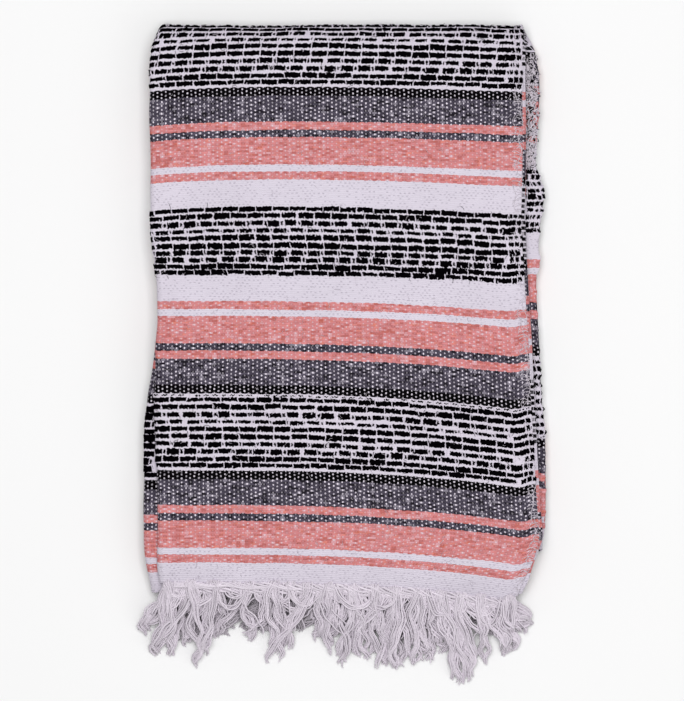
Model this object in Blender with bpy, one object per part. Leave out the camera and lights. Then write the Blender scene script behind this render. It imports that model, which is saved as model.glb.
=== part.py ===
"""A Mexican falsa blanket, folded into sixteen layers and lying on a flat surface.

Metres, +Z up. The blanket is folded in four across its width and then in four along its length. Y runs from the
fringed ends to the rolled top fold. The origin is under the middle of the outline, on the surface it rests on.

The cloth is drawn as one strip that starts at the front's fringed edge, runs up the front, round the top fold and
back along the floor. A place on it is a run along the strip, an x across it and a depth below its outer face.
"""

import math

import bmesh
import bpy
import numpy as np

MM = 0.001

# Cloth and stack
CLOTH = 2.4 * MM
SEAM = 0.3 * MM
HEIGHT = 41.4 * MM
RIB = 0.9 * MM
TOP_Y = 276.6 * MM
FRONT_END_Y = -191.9 * MM
UNDER_END_Y = -200.5 * MM
BOTTOM_FOLD_Y = -166.7 * MM

# Float bands of the weave, measured along the strip from the fringed edge
FLOAT_ROWS = 10
FIRST_BAND = 126.3 * MM
BAND_STEP = 158.9 * MM
BAND_WIDTHS = (65.6 * MM, 56.4 * MM)

# How the stack settles: thinner towards its selvedges, and drooping where it reaches past the bottom fold
THIN_RIGHT = 0.10
THIN_FROM = -168.0 * MM
THIN_ACROSS = 336.0 * MM
DROOP = 14.0 * MM
DROOP_LENGTH = 49.0 * MM
DROOP_STEPS = 5

# Weft rows bow upwards on the upper front, sag towards its lower right, and turn up again next to the selvedge.
# Each value but the heights is a run from the fringed edge, a length of run, or a share of the way across.
BOW = 4.2 * MM
BOW_FROM = 255.0 * MM
BOW_GROWTH = 60.0 * MM
BOW_FADE = 45.0 * MM
BOW_PAST_TOP = 40.0 * MM
SAG = 16.8 * MM
SAG_END = 400.0 * MM
SAG_GROWTH = 290.0 * MM
TURN_UP = 5.0 * MM
TURN_UP_FROM = 0.95

# Spacing of the rows of points
PLAIN_STEP = 34.0 * MM
ROLL_STEP = 4.5 * MM
ROW_MARGIN = 1.0 * MM
STATION_GAP = 1.2 * MM

# Edges of the three stacks that show, in millimetres, seen from above, and the share of the full height.
# A row is one station along Y.
SIDE_COLUMNS = ("y", "front_left", "front_right", "under_left", "under_right", "lower_left", "lower_right", "thick")
SIDES = (
    (-206, -153.0, 147.0, -160.0, 150.0, -154.0, 166.0, 0.945),
    (-178, -155.0, 160.0, -165.5, 159.0, -154.0, 168.0, 0.950),
    (-157, -155.8, 165.9, -167.2, 164.0, -154.0, 169.3, 0.955),
    (-148, -156.0, 166.0, -167.2, 164.5, -154.2, 170.0, 0.955),
    (-123, -156.2, 165.0, -167.2, 164.5, -155.0, 170.5, 0.950),
    (-73, -156.7, 161.7, -167.2, 164.0, -155.0, 170.1, 0.945),
    (-31, -157.9, 158.3, -163.5, 161.0, -154.0, 166.7, 0.955),
    (3, -157.1, 156.7, -157.5, 160.0, -153.0, 166.3, 0.970),
    (57, -155.4, 153.3, -152.5, 156.5, -152.0, 163.4, 0.975),
    (108, -160.9, 150.0, -156.5, 154.0, -155.0, 166.7, 0.985),
    (137, -161.7, 150.9, -157.0, 154.5, -156.0, 169.0, 0.990),
    (158, -161.7, 151.3, -157.5, 154.5, -156.0, 162.5, 0.995),
    (200, -162.0, 151.3, -158.0, 154.5, -156.5, 164.5, 1.000),
    (234, -162.5, 150.8, -158.5, 154.0, -157.0, 163.8, 0.995),
    (256, -161.0, 150.8, -158.0, 153.0, -157.0, 160.0, 0.985),
)
SIDE_TABLE = {name: np.array(column) * MM for name, column in zip(SIDE_COLUMNS, zip(*SIDES))}
SIDE_TABLE["thick"] /= MM

ROLL = HEIGHT / 2
QUARTER = HEIGHT / 4
ROLL_Y = TOP_Y - ROLL
STRAIGHT = ROLL_Y - FRONT_END_Y
FOLD = QUARTER - SEAM / 2
FOLD_Y = BOTTOM_FOLD_Y + FOLD
SLOT_Y = -148.0 * MM
FRONT_TURN = math.radians(150)
FLOOR_RUN = STRAIGHT + math.pi * ROLL
LOWER_RUN = 473.0 * MM
OUTER_LOBE = (QUARTER - SEAM) / 2
INNER_LOBE_DEPTH = QUARTER + SEAM / 2 + OUTER_LOBE - 0.05 * MM
INNER_LOBE = 5.1 * MM
COVERED = CLOTH + 1.5 * SEAM
NOSE_TOP = 2 * FOLD - CLOTH - SEAM
AXIS_LEFT = -140.0 * MM
AXIS_RIGHT = 135.5 * MM
TOP_COLUMNS = (0.97, 0.88, 0.74, 0.56, 0.36, 0.16)
UNDER_COLUMNS = [x * MM for x in (-103, -43, 17, 71, 113)]
FOLD_ANGLES = (0, 34, 68, 103, 138, 172)
UNDER_FLAT = [x * MM for x in (19, 11, 4)]
PAST_LOWER = 3.0 * MM
END_INSET = 1.2 * MM

# Right-hand side of the hidden layers in one half of the stack, from its top down: the edge that a point follows,
# how far out of that edge it is and its depth, in millimetres. The groove is where two layers part.
RIGHT_COLUMNS = ("edge", "out", "depth")
RIGHT_SIDE = (
    ("outer", 0.3, 2.85),
    ("outer", 1.5, 3.85),
    ("outer", 0.3, 5.0),
    ("groove", 0.0, 5.1),
    ("outer", 0.65, 5.25),
    ("outer", 3.0, 7.6),
    ("outer", 0.65, 9.95),
    ("groove", 0.0, 10.2),
    ("inner", -2.4, 10.45),
    ("inner", 0.0, 12.85),
    ("inner", -2.4, 15.25),
    ("groove", 0.0, 15.4),
    ("inner", -5.0, 15.45),
    ("inner", -3.8, 16.5),
    ("inner", -5.0, 17.6),
)
GROOVE = 5.0 * MM

# The hidden layers' rounded nose in the bottom fold: y, the share of the height, and inset. Lengths in millimetres.
NOSE = ((-148.05, 1.0, 0.0), (-156.5, 1.0, 0.0), (-160.0, 0.8, 3.0), (-162.6, 0.42, 8.0))
NOSE_HALF_WIDTH = 160.0
NOSE_TOP_STEPS = [x * MM for x in (4, 3, 2, 1)]
NOSE_TOP_DEPTH = 17.65 * MM
ROLL_STEPS = 7

# Fringe tufts in millimetres: the middle of the root, and the middle and y of the tip
TUFT_COLUMNS = ("root_x", "tip_x", "tip_y")
FRONT_TUFTS = (
    (-147, -162, -253),
    (-126, -141, -255),
    (-105, -121, -263),
    (-79, -84, -240),
    (-56, -58, -259),
    (-30, -24, -243),
    (0, -1, -264),
    (26, 22, -262),
    (47, 50, -268),
    (82, 96, -276.9),
    (112, 121, -262),
    (137, 145, -254),
)
UNDER_TUFTS = (
    (-128, -151, -246),
    (-86, -102, -238),
    (-38, -42, -236),
    (14, 8, -238),
    (66, 72, -240),
    (112, 130, -238),
)
FRONT_STRANDS = 6
UNDER_STRANDS = 3
STRAND = 1.7 * MM
STRIP = 2.6 * MM
STRIP_SHARE = 0.9
UNDER_STRIP = 2.0 * MM
STRAND_STATIONS = (0.22, 0.5, 0.78, 1.0)
TIP_SPREAD = 3.3 * MM
NECK_SPREAD = 2.1 * MM
NECK_SHARE = 0.4
RAGGED = 5.0 * MM
SWAY = 1.6 * MM
FRONT_LEVELS = (6.6 * MM, 4.0 * MM)
UNDER_LEVELS = (1.6 * MM, 1.6 * MM)
FRONT_DROP = 34.0 * MM
UNDER_DROP = 16.0 * MM
FLOOR_GAP = 0.5 * MM


def side(name, y):
    """An edge of a stack at y, straight between the stations."""
    return float(np.interp(y, SIDE_TABLE["y"], SIDE_TABLE[name]))


def smooth(t):
    t = min(max(t, 0.0), 1.0)
    return t * t * (3.0 - 2.0 * t)


def settled(x, y, z):
    """A place in the ideal stack moved to where the real, softer stack lies."""
    droop = DROOP * max((FOLD_Y - y) / DROOP_LENGTH, 0.0) ** 2 if z > HEIGHT / 2 - 0.01 * MM else 0.0
    thin = side("thick", y) * (1.0 - THIN_RIGHT * (x - THIN_FROM) / THIN_ACROSS)
    return x, y, z * thin - droop


def weft_shift(across, run):
    """How far a weft row lies below its straight line. across is 0 at the left edge and 1 at the right."""
    upper = smooth((run - BOW_FROM) / BOW_GROWTH) * smooth((STRAIGHT + BOW_PAST_TOP - run) / BOW_FADE)
    lower = smooth((SAG_END - run) / SAG_GROWTH)
    shift = SAG * across ** 3 * lower - BOW * math.sin(math.pi * across) * upper
    return shift - TURN_UP * smooth((across - TURN_UP_FROM) / (1.0 - TURN_UP_FROM)) * lower


def on_strip(run, depth):
    """(y, z) of a place on the strip, from the front's end over the top fold to the floor."""
    if run <= STRAIGHT:
        return FRONT_END_Y + run, HEIGHT - depth
    turn = (run - STRAIGHT) / ROLL
    if turn < math.pi:
        reach = ROLL - depth
        return ROLL_Y + reach * math.sin(turn), ROLL + reach * math.cos(turn)
    return ROLL_Y - (run - FLOOR_RUN), depth


def round_fold(run, depth):
    """(y, z) on the floor and round the bottom fold, for a run measured on from the roll."""
    flat = FLOOR_RUN + ROLL_Y - FOLD_Y
    if run <= flat:
        return on_strip(run, depth)
    turn = min((run - flat) / FOLD, math.pi)
    past = run - flat - math.pi * FOLD
    reach = FOLD - depth
    if past <= 0:
        return FOLD_Y - reach * math.sin(turn), FOLD - reach * math.cos(turn)
    return FOLD_Y + past, 2 * FOLD - depth


def roll_share(run):
    """0 on the front, 1 on the floor, and between them round the top fold."""
    return min(max((run - STRAIGHT) / (math.pi * ROLL), 0.0), 1.0)


def strip_sides(run, y):
    """Left and right edge of the outermost layer at this place."""
    share = roll_share(run)
    left = (1 - share) * side("front_left", y) + share * side("lower_left", y)
    right = (1 - share) * side("front_right", y) + share * (side("lower_right", y) - PAST_LOWER)
    return left, right


def weave_rows(first, last, stations, bands, fine_from=None):
    """(run, lift) for each row of points: a crest and a valley for each float row, and plain rows between.

    Past fine_from the rows lie close enough to go round the top fold. Without it, only the stations are used.
    """
    marks = {round(first, 6): 0.0, round(last, 6): 0.0}
    for band in range(bands):
        width = BAND_WIDTHS[band % 2]
        start = FIRST_BAND + band * BAND_STEP - width / 2
        for half in range(2 * FLOAT_ROWS + 1):
            run = start + half * width / (2 * FLOAT_ROWS)
            if first + ROW_MARGIN < run < last - ROW_MARGIN:
                marks[round(run, 6)] = RIB if half % 2 else 0.0
    for run in stations:
        if first < run < last and min(abs(run - mark) for mark in marks) > STATION_GAP:
            marks[round(run, 6)] = 0.0
    rows = []
    runs = sorted(marks)
    for here, after in zip(runs, runs[1:]):
        rows.append((here, marks[here]))
        if fine_from is not None:
            step = ROLL_STEP if here >= fine_from - SEAM else PLAIN_STEP
            extra = math.ceil((after - here) / step) - 1
            rows += [(here + (after - here) * (k + 1) / (extra + 1), 0.0) for k in range(extra)]
    rows.append((runs[-1], 0.0))
    return rows


def material(name, colour, roughness):
    made = bpy.data.materials.new(name)
    made.use_nodes = True
    shader = made.node_tree.nodes["Principled BSDF"]
    shader.inputs["Base Color"].default_value = (*colour, 1.0)
    shader.inputs["Roughness"].default_value = roughness
    shader.inputs["Metallic"].default_value = 0.0
    return made


def finish(name, mesh, cloth):
    """Turns a bmesh into the scene's object, facing outwards."""
    bmesh.ops.recalc_face_normals(mesh, faces=mesh.faces)
    data = bpy.data.meshes.new(name)
    mesh.to_mesh(data)
    mesh.free()
    data.materials.append(cloth)
    data.shade_smooth()
    data.set_sharp_from_angle(angle=math.radians(50))
    bpy.context.collection.objects.link(bpy.data.objects.new(name, data))


def cloth_wall(name, rows, section, cloth):
    """A wall of cloth. section gives each row's (outer, inner) pairs of places across it."""
    mesh = bmesh.new()
    grid = []
    for run, lift in rows:
        pairs = section(run, lift)
        outer = [mesh.verts.new(settled(*place)) for place, _ in pairs]
        inner = [mesh.verts.new(settled(*place)) for _, place in pairs]
        grid.append((outer, inner))
    for (outer, inner), (next_outer, next_inner) in zip(grid, grid[1:]):
        for k in range(len(outer) - 1):
            mesh.faces.new((outer[k], outer[k + 1], next_outer[k + 1], next_outer[k]))
            mesh.faces.new((inner[k + 1], inner[k], next_inner[k], next_inner[k + 1]))
        mesh.faces.new((inner[0], outer[0], next_outer[0], next_inner[0]))
        mesh.faces.new((outer[-1], inner[-1], next_inner[-1], next_outer[-1]))
    for outer, inner in (grid[0], grid[-1]):
        for k in range(len(outer) - 1):
            mesh.faces.new((outer[k], inner[k], inner[k + 1], outer[k + 1]))
    finish(name, mesh, cloth)


def lobe(centre_x, centre_depth, radius, angles):
    """Places (x, depth) round a left-hand fold, from its top at 0 degrees."""
    turns = [math.radians(angle) for angle in angles]
    return [(centre_x - radius * math.sin(a), centre_depth - radius * math.cos(a)) for a in turns]


def wrapped_profile(left, right, lift):
    """(x, outer depth and inner depth) places of the outermost layer, from its selvedge round the left fold."""
    centre = left + OUTER_LOBE
    flat = [(right, 0.0, right, CLOTH)]
    for column in TOP_COLUMNS:
        x = centre + (right - centre) * column
        flat.append((x, -lift, x, CLOTH))
    for angle in FOLD_ANGLES:
        raised = lift * max(0.0, math.cos(math.radians(angle)))
        (x, depth), = lobe(centre, OUTER_LOBE, OUTER_LOBE + raised, (angle,))
        (inner_x, inner_depth), = lobe(centre, OUTER_LOBE, OUTER_LOBE - CLOTH, (angle,))
        flat.append((x, depth, inner_x, inner_depth))
    return flat


def front_section(run, lift):
    y0, _ = on_strip(run, 0.0)
    y1, _ = on_strip(run - weft_shift(1.0, run), 0.0)
    left = strip_sides(run, y0)[0]
    right = strip_sides(run, y1)[1]
    pairs = []
    for x, depth, inner_x, inner_depth in wrapped_profile(left, right, lift):
        shifted = run - weft_shift(min(max((x - left) / (right - left), 0.0), 1.0), run)
        pairs.append(((x, *on_strip(shifted, depth)), (inner_x, *on_strip(shifted, inner_depth))))
    return pairs


def front_edge():
    """x and y of the front's fringed edge, from left to right."""
    places = [outer for outer, _ in front_section(0.0, 0.0)]
    places = sorted(places[: len(TOP_COLUMNS) + 2])
    return [x for x, _, _ in places], [y for _, y, _ in places]


def front_panel(cloth):
    """The layer on top: a selvedge on the right, a fold on the left, and a roll over the top fold."""
    last = STRAIGHT + FRONT_TURN * ROLL
    droop = [(FOLD_Y - FRONT_END_Y) * k / DROOP_STEPS for k in range(1, DROOP_STEPS + 1)]
    stations = droop + [y * MM - FRONT_END_Y for y, *_ in SIDES]
    rows = weave_rows(0.0, last, stations, 3, STRAIGHT - 2 * MM)
    cloth_wall("front_panel", rows, front_section, cloth)


def back_section(run, lift):
    left, right = strip_sides(run, round_fold(run, 0.0)[0])
    pairs = []
    for x, depth, inner_x, inner_depth in wrapped_profile(left, right, lift):
        pairs.append(((x, *round_fold(run, depth)), (inner_x, *round_fold(run, inner_depth))))
    return pairs


def back_panel(cloth):
    """The same cloth on the floor: from the back of the top fold to the bottom fold, which it goes round."""
    first = STRAIGHT + FRONT_TURN * ROLL + SEAM
    flat = FLOOR_RUN + ROLL_Y - FOLD_Y
    last = flat + math.pi * FOLD + (SLOT_Y - FOLD_Y) - 0.35 * MM
    stations = [FLOOR_RUN + ROLL_Y - y * MM for y, *_ in SIDES[::-1] if FOLD_Y < y * MM < ROLL_Y]
    roll = [first + (FLOOR_RUN - first) * k / 3 for k in range(4)]
    fold = [flat + math.pi * FOLD * k / 12 for k in range(13)]
    rows = [(run, 0.0) for run in roll + stations + fold + [last]]
    cloth_wall("back_panel", rows, back_section, cloth)


def under_section(run, lift):
    """The stack under the front shows at the lower left as a second fold, a little further out."""
    y = UNDER_END_Y + run
    left = side("under_left", y)
    centre = left + INNER_LOBE
    pairs = []
    for offset in UNDER_FLAT:
        x = centre + offset
        pairs.append(((x, y, HEIGHT - QUARTER), (x, y, HEIGHT - QUARTER - CLOTH)))
    for angle in FOLD_ANGLES:
        raised = lift * (angle in FOLD_ANGLES[1:4])
        (x, depth), = lobe(centre, INNER_LOBE_DEPTH, INNER_LOBE + raised, (angle,))
        (inner_x, inner_depth), = lobe(centre, INNER_LOBE_DEPTH, INNER_LOBE - CLOTH, (angle,))
        pairs.append(((x, y, HEIGHT - depth), (inner_x, y, HEIGHT - inner_depth)))
    return pairs


def second_panel(cloth):
    """The other end's outer layer, folded at the left."""
    last = ROLL_Y - 2 * MM - UNDER_END_Y
    droop = [(FOLD_Y - UNDER_END_Y) * k / DROOP_STEPS for k in range(1, DROOP_STEPS + 1)]
    stations = droop + [y * MM - UNDER_END_Y for y, *_ in SIDES]
    cloth_wall("second_panel", weave_rows(0.0, last, stations, 1), under_section, cloth)


def lower_section(run, lift):
    """Upper face of the lower stack, which shows as a strip past the front's selvedge."""
    y = ROLL_Y + LOWER_RUN - run
    top = HEIGHT / 2 - SEAM
    right = side("lower_right", y)
    covered = side("under_right", y) + 1.0 * MM
    start = AXIS_RIGHT + 0.5 * MM
    columns = (
        (start, 0.0, 0.0),
        ((start + covered) / 2, 0.0, 0.0),
        (covered, 0.0, 0.0),
        ((covered + right) / 2, 0.7, 0.1 * MM),
        (right - 0.8 * MM, 1.0, 0.45 * MM),
        (right, 0.5, 1.0 * MM),
    )
    return [((x, y, top - sunk + lift * raised), (x, y, top - sunk - CLOTH)) for x, raised, sunk in columns]


def lower_fold(cloth):
    """The strip of the lower stack at the right, from the top fold to the bottom fold."""
    stations = [ROLL_Y + LOWER_RUN - y * MM for y, *_ in SIDES]
    rows = weave_rows(LOWER_RUN + 2 * MM, LOWER_RUN + ROLL_Y - SLOT_Y - SEAM, stations, 6)
    cloth_wall("lower_fold", rows, lower_section, cloth)


def hidden_profile(y, share, nose=False, y_right=None):
    """(x, depth) places round half of the hidden stack, from its left axis point to its right one.

    share is 0 in the upper half and 1 in the lower half. nose is set where the bottom fold covers it.
    """
    y_right = y if y_right is None else y_right
    outer_left = (1 - share) * side("front_left", y) + share * side("lower_left", y)
    outer_right = (1 - share) * side("front_right", y_right) + share * (side("lower_right", y_right) - PAST_LOWER)
    inner_left = (1 - share) * side("under_left", y) + share * side("lower_left", y)
    inner_right = (1 - share) * side("under_right", y_right) + share * side("lower_right", y_right)
    bare = 0.0 if nose else share
    axis_depth = NOSE_TOP if nose else HEIGHT / 2
    covered_lobe = OUTER_LOBE - COVERED if nose else INNER_LOBE - COVERED
    lobe_depth = 2 * FOLD - OUTER_LOBE if nose else INNER_LOBE_DEPTH
    inner_radius = covered_lobe + bare * (INNER_LOBE - covered_lobe)
    inner_centre = inner_left + (OUTER_LOBE if nose else INNER_LOBE)
    outer_centre = outer_left + OUTER_LOBE
    finger_x = inner_left + (24.8 - 12.0 * bare) * MM
    finger_top = lobe_depth - inner_radius
    places = [(AXIS_LEFT, axis_depth)]
    places += lobe(inner_centre, lobe_depth, inner_radius, (180, 120, 60, 0))
    places += [(finger_x, finger_top), (finger_x + 0.4 * MM, QUARTER - 0.3 * MM - 0.05 * MM)]
    places += [(outer_centre + 3.0 * MM, 2 * OUTER_LOBE - 0.05 * MM)]
    places += lobe(outer_centre, OUTER_LOBE, OUTER_LOBE - COVERED, (180, 120, 60, 0))
    for column in TOP_COLUMNS[::-1]:
        places.append((outer_centre + (outer_right - outer_centre) * column, COVERED))
    edges = {"outer": outer_right, "inner": inner_right, "groove": min(outer_right, inner_right) - GROOVE}
    for row in RIGHT_SIDE:
        point = dict(zip(RIGHT_COLUMNS, row))
        places.append((edges[point["edge"]] + point["out"] * MM, point["depth"] * MM))
    if nose:
        places += [(AXIS_RIGHT + step, NOSE_TOP_DEPTH) for step in NOSE_TOP_STEPS]
    else:
        first_layer = (1 - share) * (inner_right - 4.0 * MM) + share * AXIS_RIGHT
        places += [((first_layer + AXIS_RIGHT) / 2 - share * 0.2 * MM, 17.75 * MM), (first_layer, 18.3 * MM)]
        places += [(first_layer + (1 - share) * MM, 19.2 * MM), (first_layer, 20.2 * MM)]
    places += [(AXIS_RIGHT, axis_depth)]
    return places


def hidden_layers(cloth):
    """All the inner layers as one rounded solid, with the folds and selvedges of its layers along both sides."""
    mesh = bmesh.new()
    levels = sorted(y * MM for y, *_ in SIDES if y * MM > SLOT_Y - 0.5 * MM)
    levels[-1] = ROLL_Y

    def ring(places, place, ends=None):
        made = []
        for k, (x, depth) in enumerate(places):
            if ends is not None and k in (0, len(places) - 1):
                made.append(ends[k > 0])
            else:
                made.append(mesh.verts.new(settled(x, *place(x, depth))))
        return made

    def skin(ring_a, ring_b):
        for k in range(len(ring_a) - 1):
            corners = [ring_a[k], ring_a[k + 1], ring_b[k + 1], ring_b[k]]
            mesh.faces.new([v for n, v in enumerate(corners) if v not in corners[:n]])

    def row_below(share):
        """A ring of the part that reaches past the bottom fold, as a share of the way to the front's end."""
        xs, ys = front_edge()

        def place(x, depth):
            end = float(np.interp(x, xs, ys)) + END_INSET
            return FOLD_Y + (end - FOLD_Y) * share, HEIGHT - depth

        places = hidden_profile(place(-1.0, 0)[0], 0.0, y_right=place(1.0, 0)[0])
        made = ring(places, place)
        under = [mesh.verts.new(settled(x, *place(x, HEIGHT / 2 - SEAM))) for x in UNDER_COLUMNS]
        return made, under

    upper = {y: ring(hidden_profile(y, 0.0), lambda x, d, y=y: (y, HEIGHT - d)) for y in levels}
    slot = upper[levels[0]]
    slot_row = [mesh.verts.new(settled(x, levels[0], HEIGHT / 2)) for x in UNDER_COLUMNS]
    overhang = [row_below(k / DROOP_STEPS) for k in range(DROOP_STEPS, -1, -1)] + [(slot, slot_row)]
    chain = [made for made, _ in overhang] + [upper[y] for y in levels[1:]]
    axis = (chain[-1][0], chain[-1][-1])
    for step in range(1, ROLL_STEPS):
        turn = math.pi * step / ROLL_STEPS

        def rolled(x, depth, turn=turn):
            return ROLL_Y + (ROLL - depth) * math.sin(turn), ROLL + (ROLL - depth) * math.cos(turn)

        chain.append(ring(hidden_profile(ROLL_Y, step / ROLL_STEPS), rolled, axis))
    for y in levels[::-1]:
        chain.append(ring(hidden_profile(y, 1.0), lambda x, d, y=y: (y, d), (upper[y][0], upper[y][-1])))
    nose = []
    for y, flatten, inset in NOSE:
        squeeze = 1.0 - inset / NOSE_HALF_WIDTH
        places = [(x * squeeze, depth) for x, depth in hidden_profile(max(y * MM, -157 * MM), 1.0, True)]
        nose.append(ring(places, lambda x, d, y=y, f=flatten: (y * MM, FOLD + (d - FOLD) * f)))
    chain += nose
    for ring_a, ring_b in zip(chain, chain[1:]):
        skin(ring_a, ring_b)
    for ring_a, ring_b in zip(nose, nose[1:]):
        mesh.faces.new((ring_a[0], ring_a[-1], ring_b[-1], ring_b[0]))
    for (ring_a, row_a), (ring_b, row_b) in zip(overhang, overhang[1:]):
        skin([ring_a[0], *row_a, ring_a[-1]], [ring_b[0], *row_b, ring_b[-1]])
    end, end_row = overhang[0]
    top = [k for k, (x, depth) in enumerate(hidden_profile(FRONT_END_Y, 0.0)) if abs(depth - COVERED) < 1e-6]
    top = top[1:1 + len(end_row)]
    skin([end[k] for k in top], end_row)
    flat = [
        mesh.faces.new([slot[0], *slot_row, slot[-1], nose[0][-1], nose[0][0]]),
        mesh.faces.new([*end[:top[0] + 1], end_row[0]]),
        mesh.faces.new([*end[top[-1]:], end_row[-1]]),
        mesh.faces.new(nose[-1]),
    ]
    bmesh.ops.triangulate(mesh, faces=flat, ngon_method="EAR_CLIP")
    finish("hidden_layers", mesh, cloth)


def fringe(name, cloth, tufts, strands, strip, levels, drop):
    """Strands in tufts, rooted in a narrow strip just past the cloth's edge.

    strip gives (y, top, bottom) of the strip's inner face at x. levels are the heights at which neighbouring
    strands lie, and drop is how far past the strip they take to come down to them.
    """
    mesh = bmesh.new()
    rows = [dict(zip(TUFT_COLUMNS, (value * MM for value in row))) for row in tufts]
    roots = []
    for number, tuft in enumerate(rows):
        before = rows[number - 1]["root_x"] if number else 2 * tuft["root_x"] - rows[1]["root_x"]
        after = rows[number + 1]["root_x"] if number + 1 < len(rows) else 2 * tuft["root_x"] - before
        first, last = (before + tuft["root_x"]) / 2, (after + tuft["root_x"]) / 2
        pitch = (last - first) / strands
        roots += [(number, k, first + (k + 0.5) * pitch) for k in range(strands)]
    cuts = [x + sign * STRAND / 2 for _, _, x in roots for sign in (-1, 1)]

    def corner(x, inner, upper):
        y, top, bottom = strip(x)
        return mesh.verts.new((x, y if inner else y - STRIP, top if upper else bottom))

    corners = [[corner(x, True, True), corner(x, True, False), corner(x, False, False), corner(x, False, True)]
               for x in cuts]
    starts = []
    for k, (a, b) in enumerate(zip(corners, corners[1:])):
        for m in range(4):
            face = mesh.faces.new((a[m], a[(m + 1) % 4], b[(m + 1) % 4], b[m]))
            if m == 2 and k % 2 == 0:
                starts.append(face)
    mesh.faces.new(corners[0])
    mesh.faces.new(corners[-1])
    for face, (number, k, root_x) in zip(starts, roots):
        tuft = rows[number]
        order = k - (strands - 1) / 2
        wobble = math.sin(7.3 * number + 2.1 * k)
        tip_y = tuft["tip_y"] + RAGGED * (1 + wobble)
        tip_x = tuft["tip_x"] + order * TIP_SPREAD
        neck_x = tuft["root_x"] + (tuft["tip_x"] - tuft["root_x"]) * NECK_SHARE + order * NECK_SPREAD
        y0, top, bottom = strip(root_x)
        y0 -= STRIP
        level = levels[(k + number) % 2]
        for share in STRAND_STATIONS:
            y = y0 + (tip_y - y0) * share
            if share < 0.5:
                x = root_x + (neck_x - root_x) * 0.75
            else:
                x = neck_x + (tip_x - neck_x) * (share - 0.5) / 0.5
            x += SWAY * math.sin(3.1 * number + 5.0 * share) * math.sin(math.pi * share)
            fall = smooth((y0 - y) / drop)
            z = (top + bottom) / 2 * (1 - fall) + level * fall
            half = STRAND / 2
            if share == STRAND_STATIONS[-1]:
                z = (min(z, level) + levels[1]) / 2
                half *= 0.56
            z = max(z, half + FLOOR_GAP)
            face = bmesh.ops.extrude_discrete_faces(mesh, faces=[face])["faces"][0]
            ordered = sorted(face.verts, key=lambda v: (v.co.z, v.co.x))
            low, high = sorted(ordered[:2], key=lambda v: v.co.x), sorted(ordered[2:], key=lambda v: v.co.x)
            for vert, (dx, dz) in zip(low + high, ((-1, -1), (1, -1), (-1, 1), (1, 1))):
                vert.co = (x + dx * half * 0.9, y, z + dz * half)
    finish(name, mesh, cloth)


def front_strip(x):
    """y, top and bottom of the edge that the front's fringe hangs from."""
    y = float(np.interp(x, *front_edge()))
    top = settled(x, y, HEIGHT)[2]
    return y - SEAM, top, top - CLOTH * STRIP_SHARE


def under_strip(x):
    """The same for the other end's fringe, part way down the end of the hidden layers."""
    y = float(np.interp(x, *front_edge())) + END_INSET
    middle = settled(x, y, HEIGHT - INNER_LOBE_DEPTH)[2]
    return y - SEAM, middle + UNDER_STRIP / 2, middle - UNDER_STRIP / 2


def main():
    for obj in list(bpy.data.objects):
        bpy.data.objects.remove(obj)
    woven = material("woven_stripes", (0.62, 0.40, 0.42), 0.92)
    inner = material("inner_layers", (0.55, 0.48, 0.52), 0.95)
    yarn = material("fringe_yarn", (0.80, 0.77, 0.81), 0.95)
    front_panel(woven)
    second_panel(woven)
    lower_fold(woven)
    back_panel(woven)
    hidden_layers(inner)
    fringe("fringe_front", yarn, FRONT_TUFTS, FRONT_STRANDS, front_strip, FRONT_LEVELS, FRONT_DROP)
    fringe("fringe_second", yarn, UNDER_TUFTS, UNDER_STRANDS, under_strip, UNDER_LEVELS, UNDER_DROP)


main()
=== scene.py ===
import math

import bpy
import numpy as np
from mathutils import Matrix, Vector


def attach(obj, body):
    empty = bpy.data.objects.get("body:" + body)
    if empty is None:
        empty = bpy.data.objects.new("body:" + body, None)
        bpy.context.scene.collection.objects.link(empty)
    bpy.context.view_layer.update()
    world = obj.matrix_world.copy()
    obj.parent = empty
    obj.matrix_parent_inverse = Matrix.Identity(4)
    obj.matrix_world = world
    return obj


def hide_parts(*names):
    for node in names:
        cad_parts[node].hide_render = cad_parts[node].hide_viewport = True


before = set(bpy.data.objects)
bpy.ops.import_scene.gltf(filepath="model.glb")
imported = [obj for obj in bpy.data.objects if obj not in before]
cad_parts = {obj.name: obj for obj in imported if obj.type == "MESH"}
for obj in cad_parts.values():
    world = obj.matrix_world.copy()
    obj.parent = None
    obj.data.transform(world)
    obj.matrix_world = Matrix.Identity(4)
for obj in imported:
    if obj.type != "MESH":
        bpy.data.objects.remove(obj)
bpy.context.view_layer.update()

mm = 0.001

# The folded stack, as the CAD model has it. The outermost layer is one strip. A place on it is a run from
# the front's fringed edge, up the front, round the top roll and back along the floor.
stack = {
    "cloth": 2.4 * mm,
    "seam": 0.3 * mm,
    "height": 41.4 * mm,
    "topY": 276.6 * mm,
    "frontEndY": -191.9 * mm,
    "underEndY": -200.5 * mm,
    "bottomFoldY": -166.7 * mm,
    "slotY": -148.0 * mm,
    "thinRight": 0.10,
    "thinFrom": -168.0 * mm,
    "thinAcross": 336.0 * mm,
    "droop": 14.0 * mm,
    "droopLength": 49.0 * mm,
    "bow": 4.2 * mm,
    "bowFrom": 255.0 * mm,
    "bowGrowth": 60.0 * mm,
    "bowFade": 45.0 * mm,
    "bowPastTop": 40.0 * mm,
    "bowLean": 0.75,
    "sag": 16.8 * mm,
    "sagEnd": 400.0 * mm,
    "sagGrowth": 290.0 * mm,
    "turnUp": 5.0 * mm,
    "turnUpFrom": 0.95,
    "lowerRun": 475.2 * mm,
    "pastLower": 3.0 * mm,
    "cornerOut": 2.6 * mm,
    "cornerLength": 22.0 * mm,
    "cornerSteep": 1.6,
    "innerLobe": 5.1 * mm,
    "frontTurn": math.radians(150),
    "width": 313.0 * mm,  # of one folded quarter of the cloth
}
sideColumns = ("y", "frontLeft", "frontRight", "underLeft", "underRight", "lowerLeft", "lowerRight", "thick")
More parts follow.
